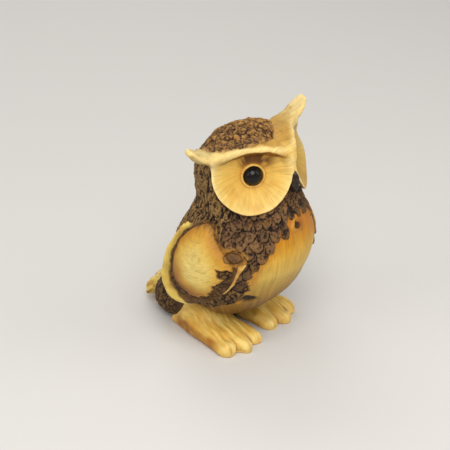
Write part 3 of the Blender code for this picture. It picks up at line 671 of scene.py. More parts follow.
warp = fbm(p, 7.0, 3, 2)
ragged = 5.0 * fbm(p, (5.0, 5.0, 3.2), 5, 3) * (1 - step(30, 46, z)) + 1.6 * fbm(p, 3.0, 6, 2)
PITCH_U, PITCH_V = math.degrees(2 * math.pi / 35), 4.4
u = phi / PITCH_U + 0.34 * noise(p, 9.0, 11) + 0.05 * noise(p, 1.6, 13)
v = z / PITCH_V + 0.34 * noise(p, 8.0, 12) + 0.05 * noise(p, 1.6, 14)


def has_scale(c, row):
    zc, fc = row * PITCH_V, np.abs(c * PITCH_U)
    return (fc > belly_edge(zc + 1.0, c > 0) + 1.0) & (fc < 66 + 10 * np.sin(zc * 0.9 + c)) & (zc > 36.5) & (zc < 80)


scale_h, lip_groove_shadow, scale_tone, scaled = shingles(u, v, 21, has_scale)
plain_bark = step(-1.2, 1.2, aphi - belly_edge(z, phi > 0) - ragged)
under_scales = (z > 38) & (aphi < 60)
bark = np.where(scaled, 1.0, np.where(under_scales, 0.0, plain_bark))
bark = np.where((z > 64) & (aphi < 75), 1.0, bark)
is_rump = step(11.0, 15.0, p[:, 1]) * (1 - step(20, 30, z))
bark = np.maximum(bark, is_rump)

on_crown = step(85.0, 90.5, z + 0.10 * (p[:, 1] + 12) + 2.6 * noise(p, 6.5, 64) + 1.2 * noise(p, 2.4, 66))
neck = step(48, 64, z + 6.0 * noise(p, 9.0, 65) + 2.0 * noise(p, 3.0, 67)) * (1 - on_crown)
crown_h, tag, grit = crown_plates(p)
stroke_p = np.stack([side_mm + 1.7 * noise(p, 5.0, 60) + 0.5 * noise(p, 1.7, 68), z, 0 * z], 1)
stroke = noise(stroke_p, (1.25, 4.2, 1.0), 61) * 0.62 + noise(stroke_p, (0.8, 2.3, 1.0), 62) * 0.42
nape_h = (0.95 + 0.30 * noise(p, 7.0, 69)) * stroke + 0.46 * grit + 0.42 * noise(p, 4.2, 63)
bent = p + 0.8 * np.stack([noise(p, 2.6, 73), noise(p, 2.6, 74), noise(p, 2.6, 75)], 1)
g1, g2, gtag = cells(bent, (2.1, 2.1, 2.7), 70)
b1, b2, btag = cells(bent, (3.5, 3.5, 5.2), 76)
large = step(-0.25, 0.35, noise(p, 8.0, 79))
rough_h = mix(np.stack([np.clip((g2 - g1) / 0.4, 0, 1) * (0.5 + gtag)], 1), np.stack([np.clip((b2 - b1) / 0.25, 0, 1) ** 0.7 * (0.5 + 0.9 * btag)], 1), large)[:, 0]
rough_h = 0.66 * rough_h + 0.52 * grit - 0.3

scale_relief = 1.35 * scale_h - 0.75 * lip_groove_shadow - 0.50 + 0.34 * grit
flank_h = np.where(neck > 0.5, nape_h, rough_h) * 1.0
flank_h = nape_h * neck + rough_h * (1 - neck)
mixed = np.where(scaled, scale_relief, np.where(under_scales & (z < 64), 0.0, flank_h))
# scales fade into neck strokes at the side of the throat
relief = mixed * (1 - on_crown) + crown_h * on_crown
seat = np.zeros(len(p))
for side in (-1, 1):
    s_, u_, n_ = in_disc(p, side)
    r_ = np.hypot(s_, u_)
    seat = np.maximum(seat, (1 - step(DISC_R - 0.6, DISC_R + 0.5, r_)) * step(-9, -7, n_))
belly_grain = noise(np.stack([side_mm, z, 0 * z], 1), (0.8, 9.0, 1.0), 80)
relief = bark * (relief * 0.62 + 0.28) + (1 - bark) * (0.05 * belly_grain + 0.22 * noise(p, 13.0, 81) - 0.18)
knot_h, knot_k = knot_relief(p[:, 1], z, p[:, 0])
relief = relief * (1 - 0.8 * step(1.5, 1.1, knot_k)) + 0.25 * knot_h
# a small knot high on the belly and a dark split low beside each wing
kb = np.hypot((p[:, 0] - 0.5) / 2.5, (z - 59.7) / 1.7) * (1 + 0.30 * noise(p, 1.5, 97))
kb = np.where(p[:, 1] < -30, kb, 9)
ridge_side = step(1.2, -1.2, p[:, 0] - 0.5)
relief = relief + (0.25 + 0.65 * ridge_side) * np.exp(-((kb - 1.15) / 0.35) ** 2) - 0.9 * (1 - step(0.3, 0.95, kb))
slit = np.hypot((aphi - 43.0) / 8.8, (z - 29.0 - (aphi - 43) * 0.10) / np.clip(2.0 + 0.07 * (aphi - 43), 1.0, 2.6)) * (1 + 0.12 * noise(p, 1.6, 98))
relief = relief - 0.9 * (1 - step(0.5, 1.1, slit))
flake = np.hypot((aphi - 53.5) / 4.2, (z - 27.4) / 1.5) * (1 + 0.3 * noise(p, 1.8, 99))
relief = relief + 0.35 * warp * bark * (1 - seat)
relief = relief * (1 - seat) * step(11.2, 13.5, z + 20 * is_rump)
verts = p + normal * relief[:, None]
verts[:, 2] = np.maximum(verts[:, 2], 0.35)

low = hollow(verts, quads, 5)
# bark tone from the carving: raised parts lighter and hollows darker, painted highlight and painted shade
k = np.clip((relief * 0.55 - low * 5.0 + 0.38 * grit - 0.08) * (1.80 - 0.80 * on_crown), -1, 1)
bark_rgb = bark_tone(k)
bark_rgb = bark_rgb * mix((1, 1, 1), (0.82, 0.80, 0.88), scaled * (1 - on_crown))
bark_rgb = bark_rgb * (1 + 0.13 * scale_tone * scaled)[:, None]
# painted shadow: the line under each scale's lip is darkened towards near black
bark_rgb = mix(bark_rgb, BARK_DEEP, np.clip(lip_groove_shadow * 0.9 * np.where(z > 36, 1, 0), 0, 1))
bark_rgb = mix(bark_rgb, crown_colour(k, tag), on_crown)
bark_rgb = bark_rgb * mix((1, 1, 1), (0.99, 1.02, 1.06), neck * (1 - scaled))
# painted shade: the bark darkens towards the bottom of the body
bark_rgb = bark_rgb * mix((1, 1, 1), (0.86, 0.86, 0.86), np.clip(1 - step(24, 60, z), 0, 1))
tan = step(0.35, 0.85, fbm(p, 4.5, 90, 3)) * bark * (1 - 0.5 * on_crown)
bark_rgb = mix(bark_rgb, (150, 108, 58), tan * 0.42)
# belly colour by height; below about z 31 it darkens steeply to deep brown at the base, painted shade under the body
belly_rgb = ramp(z, [(10, (70, 44, 14)), (17, (98, 64, 18)), (24, (138, 100, 36)), (31, (178, 144, 68)), (40, (220, 190, 106)),
                     (48, (220, 178, 80)), (54, (204, 144, 30)), (60, (190, 118, 12)), (70, (178, 110, 14))])
near_edge = 1 - step(0.0, 9.0, belly_edge(z) - aphi)
belly_rgb = mix(belly_rgb, (196, 128, 40), near_edge * 0.65 * step(24, 40, z))
belly_rgb = mix(belly_rgb, (168, 116, 48), step(0.25, 0.9, belly_grain) * 0.20)
belly_rgb = mix(belly_rgb, (234, 200, 124), step(0.2, 0.9, fbm(np.stack([side_mm, z, 0 * z], 1), (1.6, 14, 1), 95, 2)) * 0.22)
dots = step(0.42, 0.80, noise(p, 0.9, 100)) * step(0.0, 0.6, noise(p, 5.0, 103)) * step(50, 34, z)
belly_rgb = mix(belly_rgb, (112, 84, 40), dots * 0.30)
bark_rgb = np.clip((78, 57, 35) + (bark_rgb - (86, 64, 42)) * (1.22 - 0.34 * step(3, 15, p[:, 1]))[:, None], 12, 250)
body_rgb = mix(belly_rgb, bark_rgb, bark)
body_rgb = mix(body_rgb, (206, 148, 52), (1 - step(0.5, 1.1, flake)) * 0.8)
shadow_edge = np.exp(-((aphi - belly_edge(z)) / 3.5) ** 2)
# painted shadow under the lowest scales' lips, on the bare surface below them
body_rgb = mix(body_rgb, BARK_DEEP, (lip_groove_shadow > 0.25) * (~scaled) * 0.55 * (z > 36))
body_rgb = mix(body_rgb, (196, 146, 72), np.exp(-((knot_k - 1.55) / 0.24) ** 2) * 0.70)
body_rgb = mix(body_rgb, (112, 84, 62), (1 - step(0.6, 0.95, knot_k)) * 0.9)
body_rgb = mix(body_rgb, (50, 32, 20), np.exp(-((knot_k - 1.0) / 0.15) ** 2) * 0.85)
body_rgb = mix(body_rgb, (56, 36, 20), (1 - step(0.5, 1.05, kb)) * 0.92)
body_rgb = mix(body_rgb, (142, 92, 32), np.exp(-((kb - 1.25) / 0.25) ** 2) * 0.55)
body_rgb = mix(body_rgb, (222, 172, 78), np.exp(-((kb - 1.35) / 0.25) ** 2) * 0.7 * ridge_side)
body_rgb = mix(body_rgb, (96, 66, 30), (1 - step(0.8, 1.35, slit)) * 0.5)
body_rgb = mix(body_rgb, (34, 22, 12), (1 - step(0.55, 0.95, slit)) * 0.95)
body_grain = np.stack([side_mm, z, 0.02 * p[:, 1]], 1)
normal = normals_of(verts, quads)
is_head = verts[quads].mean(1)[:, 2] > NECK
piece("torso_skin", verts, quads[~is_head], body_rgb, body_grain, ["torso"], BARK_PAINT, bark, normal)
piece("head_skin", verts, quads[is_head], body_rgb, body_grain, ["head"], HEAD_PAINT, bark, normal)


# ------------------------------------------------------------------ face discs, bridge, brow and ear tufts
def rim_radius(s, u, side):
    """The disc's outline wavers a little, and the left one is drawn in underneath."""
    a = np.arctan2(u, s)
    r = DISC_R * (1 + 0.010 * np.sin(3 * a + 0.6 + side) + 0.004 * np.sin(7 * a + 2.1))
    if side > 0:
        r = r - 1.0 * step(0.3, 1.0, -np.sin(a)) - 1.6 * step(0.1, 0.9, np.sin(a)) + 0.8 * step(0.2, 0.9, -np.cos(a)) * step(0.6, 0.1, np.abs(np.sin(a) + 0.3))
    return r


def flare(u, side):
    """The left disc's lower half is turned a little further out."""
    return 2.0 * step(3.0, -13.0, u) if side > 0 else 0.0 * u


def face_fields(X, Y, Z):
    shape = np.broadcast(X, Y, Z).shape
    disc = np.full(shape, 50.0, np.float32)
    hollowed = np.full(shape, 50.0, np.float32)
    for side in (-1, 1):
        inner, up, out = disc_axes(side)
        w = (X - DISC[side][0], Y - DISC[side][1], Z - DISC[side][2])
        s, u, n = (w[0] * a[0] + w[1] * a[1] + w[2] * a[2] for a in (inner, up, out))
        n = n - flare(u, side)
        r = np.sqrt(s * s + u * u)
        rim = rim_radius(s, u, side)
        slope = 2 * DISC_DEPTH * r / DISC_R ** 2
        h = (n - bowl(r)) / np.sqrt(1 + slope ** 2)
        wall = DISC_WALL - 0.75 * step(9, 17, r)
        shell = np.abs(h + wall / 2) - wall / 2
        one = smax(shell, r - rim, 1.1)
        disc = np.minimum(disc, one)
        hollowed = np.minimum(hollowed, np.maximum(np.maximum(-h, r - rim + 1.4), n - 0.6))
    zb = np.clip(Z, BRIDGE[0, 0], BRIDGE[-1, 0])
    yc, w_, d_ = (pchip(BRIDGE[:, 0], BRIDGE[:, i], zb) for i in (1, 2, 3))
    k = np.sqrt((X / w_) ** 2 + ((Y - yc) / d_) ** 2) + 1e-6
    bridge = (k - 1) * np.minimum(w_, d_)
    bridge = np.maximum(bridge, np.abs(Z - 85.0) - 9.0)
    disc = smin(disc, bridge, 1.2)
    ax = np.abs(X)
    q = np.clip(ax, 0, BROW[-1, 0])
    ly, lz, by, bz, th, more = (pchip(BROW[:, 0], BROW[:, i], q) for i in range(1, 7))
    by = by + np.where(X > 0, more, 0)
    cy, cz = (ly + by) / 2, (lz + bz) / 2 - 0.72 * th
    ty, tz = by - ly, bz - lz
    length = np.sqrt(ty * ty + tz * tz)
    ty, tz = ty / length, tz / length
    a = (Y - cy) * ty + (Z - cz) * tz
    b = -(Y - cy) * tz + (Z - cz) * ty
    disc = smax(disc, b + 0.2, 0.8)
    # the top is dished and the front lip is the higher, rounder edge
    b = b + 0.55 * np.exp(-((a - 0.05 * length) / (0.30 * length)) ** 2) * (b > -th) * step(2.0, 9.0, ax) - 0.45 * np.exp(-((a + 0.44 * length) / 1.3) ** 2)
    e = np.maximum(ax - BROW[-1, 0], 0)
    k = np.sqrt((a / (length / 2)) ** 2 + (b / th) ** 2 + (e / 0.8) ** 2) + 1e-6
    crest = (k - 1) * th * 0.95
    return disc, crest, hollowed


f_lo, f_hi = (-38.6, -38.6, 65.5), (38.6, -6.0, 101.6)
fx, fy, fz = grid_axes(f_lo, f_hi, FACE_STEP)
grids = (fx[:, None, None].astype(np.float32), fy[None, :, None].astype(np.float32), fz[None, None, :].astype(np.float32))
disc_f, crest_f, hollow_f = face_fields(*grids)
shape = np.broadcast(*grids).shape
crest_f = np.broadcast_to(crest_f, shape)
disc_f = np.broadcast_to(disc_f, shape)
together = smin(disc_f, crest_f, 3.4)
verts, quads = skin(together.astype(np.float32), f_lo, FACE_STEP)
verts = spread(verts, quads, len(verts), 2, 0.4)
normal = normals_of(verts, quads)
p = verts
x, y, z = p.T
dv, cv, _ = face_fields(x, y, z)
side = np.where(x < 0, -1, 1)
s = np.zeros(len(p)); u = np.zeros(len(p)); n = np.zeros(len(p))
for sd in (-1, 1):
    m = side == sd
    s[m], u[m], n[m] = in_disc(p[m], sd)
r = np.hypot(s, u)
theta = np.arctan2(u, s)
crest = step(-0.8, 0.8, dv - cv)
facing = np.zeros(len(p))
for sd in (-1, 1):
    m = side == sd
    facing[m] = normal[m] @ disc_axes(sd)[2]
in_bowl = (1 - crest) * (facing > 0.2) * (r < DISC_R)
grain_vec = np.where((crest > 0.5)[:, None] & (normal[:, 2:3] > -0.1), np.stack([y * 1.2 + 0.3 * z, x * 1.0, 0.05 * z], 1),
                     np.stack([theta * 11.0 + side * 40, r * 1.0, 0.0 * r], 1))
fine = noise(np.stack([theta * 11.0, r, side * 9.0], 1), (0.55, 5.0, 1.0), 101)
relief = in_bowl * step(DISC_R - 0.5, DISC_R - 2.5, r) * (0.035 * fine + 0.10 * noise(p, 4.5, 102))
top = crest * step(0.0, 0.5, normal[:, 2])
along_brow = noise(np.stack([y + 0.4 * z, x, 0 * x], 1), (1.0, 6.0, 1.0), 104)
relief = relief + crest * (0.22 * fbm(p, 4.5, 105, 3) + 0.10 * along_brow)
edge = np.exp(-((r - DISC_R) / 0.9) ** 2) * (1 - crest)
relief = relief + edge * 0.16 * noise(p, 3.0, 106)
ly, lz, by, bz, th = (pchip(BROW[:, 0], BROW[:, i], np.clip(np.abs(x), 0, 36.4)) for i in range(1, 6))
chord = np.hypot(by - ly, bz - lz)
from_lip = ((y - ly) * (by - ly) + (z - lz) * (bz - lz)) / chord ** 2
reach = np.interp(x, BARK_FRONT[:, 0], BARK_FRONT[:, 1]) + 0.07 * noise(p, 2.2, 112)
plates, plate_tag, plate_grit = crown_plates(p)
crest_bark = step(reach - 0.03, reach + 0.05, from_lip) * crest * step(-0.1, 0.2, normal[:, 2])
relief = relief * (1 - crest_bark) + crest_bark * (plates * 0.62 + 0.40)
verts = p + normal * relief[:, None]
low = hollow(verts, quads, 6)

disc_rgb = ramp(r, [(0, (214, 166, 78)), (4.5, (222, 176, 88)), (8, (229, 187, 100)), (12, (233, 196, 112)), (15, (238, 210, 142)), (16.6, (242, 224, 184))])
down = step(0.1, 0.9, -np.sin(theta))
disc_rgb = mix(disc_rgb, (240, 206, 126), down * 0.45 * step(5, 12, r))
disc_rgb = mix(disc_rgb, (206, 152, 70), step(0.30, 0.95, fine) * 0.22 * step(4, 7, r))
disc_rgb = mix(disc_rgb, (244, 218, 150), step(0.25, 0.95, -fine) * 0.12)
disc_rgb = mix(disc_rgb, (206, 150, 66), step(0.1, 0.9, fbm(p, 7.0, 111, 2)) * 0.30)
streaks = noise(np.stack([theta * 7.0 + 40, r, side * 5.0], 1), (0.9, 5.0, 1.0), 110)
es, eu = s - EYE_OFF[0], u - EYE_OFF[1]
er = np.hypot(es, eu)
# a brown stain over the eye, up under the brow's overhang: partly stain, partly painted shadow of the brow
above = step(1.5, 5.5, eu) * step(4.4, 5.6, er)
inward = step(-7.5, -2.0, es) * step(10.5, 5.0, es)
stain_and_brow_shadow = above * inward * step(-0.35, 0.45, streaks)
stain_and_shadow_core = above * step(-5.0, -1.5, es) * step(5.0, 2.0, es)
disc_rgb = mix(disc_rgb, (98, 58, 20), np.clip(stain_and_brow_shadow * 0.60 + stain_and_shadow_core * 0.60 + above * inward * 0.28, 0, 0.95))
# painted shade: a darker ring where the eyelid meets the bowl, stronger above the eye
disc_rgb = mix(disc_rgb, (176, 124, 58), np.exp(-((er - 5.3) / 0.5) ** 2) * (0.25 + 0.35 * above))
ax = np.abs(x)
crest_top = ramp(ax, [(0, (208, 164, 80)), (8, (204, 160, 78)), (16, (210, 170, 90)), (22, (218, 186, 120)), (27, (230, 210, 162)), (37, (238, 220, 182))])
crest_top = mix(crest_top, (176, 128, 58), step(0.2, 0.9, fbm(p, (4.0, 3.0, 4.0), 120, 3)) * 0.45)
crest_top = mix(crest_top, (150, 100, 44), step(0.35, 0.9, along_brow) * 0.28 * (1 - step(24, 30, ax)))
# the brow's underside, where its normal points down, is painted darker brown, most over the eyes: partly stain, partly
# painted shade under the overhang
soffit_stain_and_shade_rgb = ramp(ax, [(0, (160, 108, 34)), (4, (148, 96, 28)), (12, (144, 94, 30)), (17, (140, 100, 42)), (22, (140, 110, 60)), (28, (168, 142, 92)), (37, (212, 192, 148))])
soffit_stain_and_shade_rgb = mix(soffit_stain_and_shade_rgb, (84, 50, 18), step(0.0, 0.8, streaks) * 0.5 * step(3, 6, ax) * (1 - step(16, 20, ax)))
under = step(0.05, -0.35, normal[:, 2])
crest_rgb = mix(0.94 * np.asarray(crest_top), soffit_stain_and_shade_rgb, under)
ly = pchip(BROW[:, 0], BROW[:, 1], np.clip(ax, 0, 36.4))
lz = pchip(BROW[:, 0], BROW[:, 2], np.clip(ax, 0, 36.4))
# painted highlight: a pale cream band along the brow's front lip
lip = np.exp(-((np.hypot(y - ly - 0.6, z - lz + 0.4)) / 2.1) ** 2)
crest_rgb = mix(crest_rgb, (240, 217, 164), np.clip(lip * 1.1, 0, 1) * step(-0.75, -0.2, normal[:, 2]))
# painted shade: the left disc, turned away from the light, is darkened and warmed
disc_rgb = disc_rgb * (1 - step(8.0, 14.0, p[:, 0])[:, None] * np.array((0.12, 0.14, 0.20)))
face_rgb = mix(disc_rgb, crest_rgb, crest)
yc = pchip(BRIDGE[:, 0], BRIDGE[:, 1], np.clip(z, 76, 94))
ridge = np.exp(-(x / 1.7) ** 2) * (y < yc + 1.5) * (1 - 0.3 * crest)
face_rgb = mix(face_rgb, (240, 208, 132), ridge * 0.8)
back_face = step(0.1, -0.3, facing) * (1 - crest)
face_rgb = mix(face_rgb, (122, 88, 52), back_face * (0.72 + 0.25 * noise(p, 2.2, 113)))
face_rgb = hollow_shade_and_bump_highlight(face_rgb, low, 5.0, 0.70, 1.10)
# plate tone: raised plates lighter and hollows darker, painted highlight and painted shade
plate_k = np.clip((plates * 0.62 + 0.1) * 0.55 - low * 5.0 + 0.38 * plate_grit - 0.08, -1, 1)
face_rgb = mix(face_rgb, crown_colour(plate_k, plate_tag), crest_bark)
normal = normals_of(verts, quads)
mid = verts[quads].mean(1)
owner = crest[quads].mean(1) > 0.5
tuft_r, tuft_l = owner & (mid[:, 0] < -TUFT_X), owner & (mid[:, 0] > TUFT_X)
brow_q = owner & ~tuft_r & ~tuft_l
clean = crest_bark
piece("face_mask_skin", verts, quads[~owner], face_rgb, grain_vec, ["face_mask"], FACE_PAINT, clean, normal)
piece("brow_crest_skin", verts, quads[brow_q], face_rgb, grain_vec, ["brow_crest"], FACE_PAINT, clean, normal)
piece("ear_tuft_right_skin", verts, quads[tuft_r], face_rgb, grain_vec, ["ear_tuft_right"], TIP_PAINT, clean, normal)
piece("ear_tuft_left_skin", verts, quads[tuft_l], face_rgb, grain_vec, ["ear_tuft_left"], TIP_PAINT, clean, normal)


# ------------------------------------------------------------------ eyes, eyelids and beak
def lathe(name, node, side, rows, around, material, rgb_of, wobble=None):
    """A shape turned about the eye's axis. rows are (radius, height out of the disc's plane)."""
    inner, up, out = disc_axes(side)
    middle = DISC[side] + EYE_OFF[0] * inner + EYE_OFF[1] * up
    a = np.linspace(0, 2 * np.pi, around, endpoint=False)
    v = []
    for i, (rr, hh) in enumerate(rows):
        dr, dh = wobble(a, i, len(rows)) if wobble else (0, 0)
        ring = middle + ((rr + dr) * np.cos(a))[:, None] * inner + ((rr + dr) * np.sin(a))[:, None] * up + (hh + dh + 0 * a)[:, None] * out
        v.append(ring)
    v = np.concatenate(v)
    q = sheet(len(rows), around)
    if side < 0:
        q = q[:, ::-1]
    n = normals_of(v, q)
    if (n * (v - v.mean(0))).sum() < 0:
        q = q[:, ::-1]
    g = np.stack([np.tile(a * 6, len(rows)), np.repeat([rr for rr, _ in rows], around), 0 * v[:, 0]], 1)
    return piece(name, v, q, rgb_of(v, n), g, [node], material)


for label, sd in (("right", -1), ("left", 1)):
    t = np.linspace(0.0, np.pi / 2, 26)
    rows = [(0.02 + EYE_R * math.sin(k), bowl(0) - 0.4 + 3.8 * math.cos(k)) for k in t] + [(EYE_R, bowl(0) - 1.2), (EYE_R * 0.9, bowl(0) - 1.8)]
    lathe(f"eye_{label}_bead", f"eye_{label}", sd, rows, 72, EYE_PAINT, lambda v, n: np.tile((8.0, 7.0, 7.0), (len(v), 1)))

    def lid_wobble(a, i, count, sd=sd):
        share = np.clip(math.sin(math.pi * i / (count - 1)), 0, 1)
        swell = 0.30 * np.sin(a + 0.9) + 0.12 * np.sin(3 * a + 1.7) + 0.08 * np.sin(7 * a + sd)
        return 0.08 * np.sin(2 * a + 0.5) + 0.05 * np.sin(5 * a), share * (0.02 + swell * 0.75)

    tt = np.linspace(0, np.pi, 15)
    rows = [(4.50 - 0.58 * math.cos(k), bowl(4.7) + 0.10 + 0.70 * math.sin(k)) for k in tt]
    rows = [(3.8, bowl(4) - 1.0)] + rows + [(5.2, bowl(5.2) - 0.9)]

    def lid_rgb(v, n, sd=sd):
        s_, u_, n_ = in_disc(v, sd)
        rr = np.hypot(s_ - EYE_OFF[0], u_ - EYE_OFF[1])
        # painted shade: the lid is dark at its inner foot, in the crease against the bead
        c = ramp(rr, [(3.8, (70, 44, 22)), (4.05, (140, 94, 44)), (4.4, (232, 196, 122)), (4.9, (228, 186, 104)), (5.3, (206, 156, 76))])
        return mix(c, (196, 146, 72), step(0.2, 0.8, noise(v, 1.4, 130)) * 0.5)

    lathe(f"eyelid_{label}_rim", f"eyelid_{label}", sd, rows, 120, FACE_PAINT, lid_rgb, lid_wobble)

levels = np.linspace(BEAK[0, 0], BEAK[-1, 0], 46)
w_, fr, bk = (pchip(BEAK[:, 0], BEAK[:, i], levels) for i in (1, 2, 3))
a = np.linspace(0, 2 * np.pi, 56, endpoint=False)
rings = [np.tile((0, -37.2, BEAK[0, 0] - 0.35), (56, 1))]
for zz, ww, f0, b0 in zip(levels, w_, fr, bk):
    taper = 0.86 + 0.14 * math.sin(math.pi * (zz - 74.8) / 9.2)
    cy, dy = (f0 + b0) / 2, (b0 - f0) / 2
    front = np.clip(-np.sin(a), 0, 1)
    rings.append(np.stack([ww * taper * np.cos(a) * (1 - 0.30 * front ** 2), cy + dy * np.sin(a), zz + 0 * a], 1))
rings.append(np.tile((0, -35.5, BEAK[-1, 0] + 0.4), (56, 1)))
v = np.concatenate(rings)
v[:, :2] += (node_mid("beak") - (v.min(0) + v.max(0)) / 2)[None, :2] * np.array((1.0, 0.0))
v[:, 0] += 0.12 * noise(v, 1.3, 140)
q = sheet(len(rings), 56)
n_ = normals_of(v, q)
if (n_ * (v - v.mean(0))).sum() < 0:
    q = q[:, ::-1]
piece("beak_horn", v, q, np.tile((30.0, 22.0, 16.0), (len(v), 1)), v.copy(), ["beak"], BEAK_PAINT)


# ------------------------------------------------------------------ wings
def flank_x(y, z):
    half, front, back, mid = (pchip(BODY[:, 0], BODY[:, i], z) for i in (1, 2, 3, 4))
    reach = np.where(y < mid, mid - front, back - mid)
    return -half * np.sqrt(np.maximum(0.02, 1 - ((y - mid) / reach) ** 2))


def flank(y, z):
    """Point and outward normal on the right flank."""
    x, e = flank_x(y, z), 0.3
    n = np.stack([-np.ones_like(x), (flank_x(y + e, z) - flank_x(y - e, z)) / (2 * e), (flank_x(y, z + e) - flank_x(y, z - e)) / (2 * e)], 1)
    return np.stack([x, y, z], 1), n / np.linalg.norm(n, axis=1)[:, None]


def polar(table, a, column=None):
    dy, dz = table[:, 0] - WING_MID[0], table[:, 1] - WING_MID[1]
    angle = np.arctan2(dz, dy)
    value = np.hypot(dy, dz) if column is None else table[:, column]
    order = np.argsort(angle)
    angle, value = angle[order], value[order]
    angle = np.concatenate([angle[-4:] - 2 * np.pi, angle, angle[:4] + 2 * np.pi])
    return pchip(angle, np.concatenate([value[-4:], value, value[:4]]), a)


AROUND = 560
ang = np.linspace(-np.pi, np.pi, AROUND, endpoint=False)
pad_r = polar(np.stack([PAD[:, 0] + 1.2 * step(-9, -3, PAD[:, 0]), PAD[:, 1]], 1), ang)
circle = np.stack([np.cos(ang), np.sin(ang), 0 * ang], 1)
torn = 0.42 * noise(circle * 30, 3.6, 150) + 0.22 * noise(circle * 30, 1.5, 151)
rearward = step(-0.2, 0.6, np.cos(ang))
rim_jitter = torn * (0.35 + 0.45 * rearward + 1.05 * rearward * step(0.1, 0.7, np.sin(ang)))
pad_jitter = 0.22 * noise(circle * 25, 1.6, 152)
pad_edge = pad_r + pad_jitter


def wing_points(radius, height, seed_side):
    """radius and height are (rows, around) arrays."""
    yy = (WING_MID[0] + radius * np.cos(ang)[None, :]).ravel()
    zz = (WING_MID[1] + radius * np.sin(ang)[None, :]).ravel()
    base, out = flank(yy, zz)
    return yy, zz, base, out, height.ravel()


def pad_profile(share, stand):
    thin = np.minimum(1.0, 0.30 + 0.12 * stand)
    h = np.interp(share, (0, 0.3, 0.6, 0.82, 0.94, 1.0), (4.4, 4.3, 3.9, 3.1, 2.3, 1.4))
    smooth_h = 1.4 + 3.0 * np.sqrt(np.maximum(0, 1 - share ** 2.6))
    return 0.5 * (h + smooth_h) * (1 - share * (1 - thin))


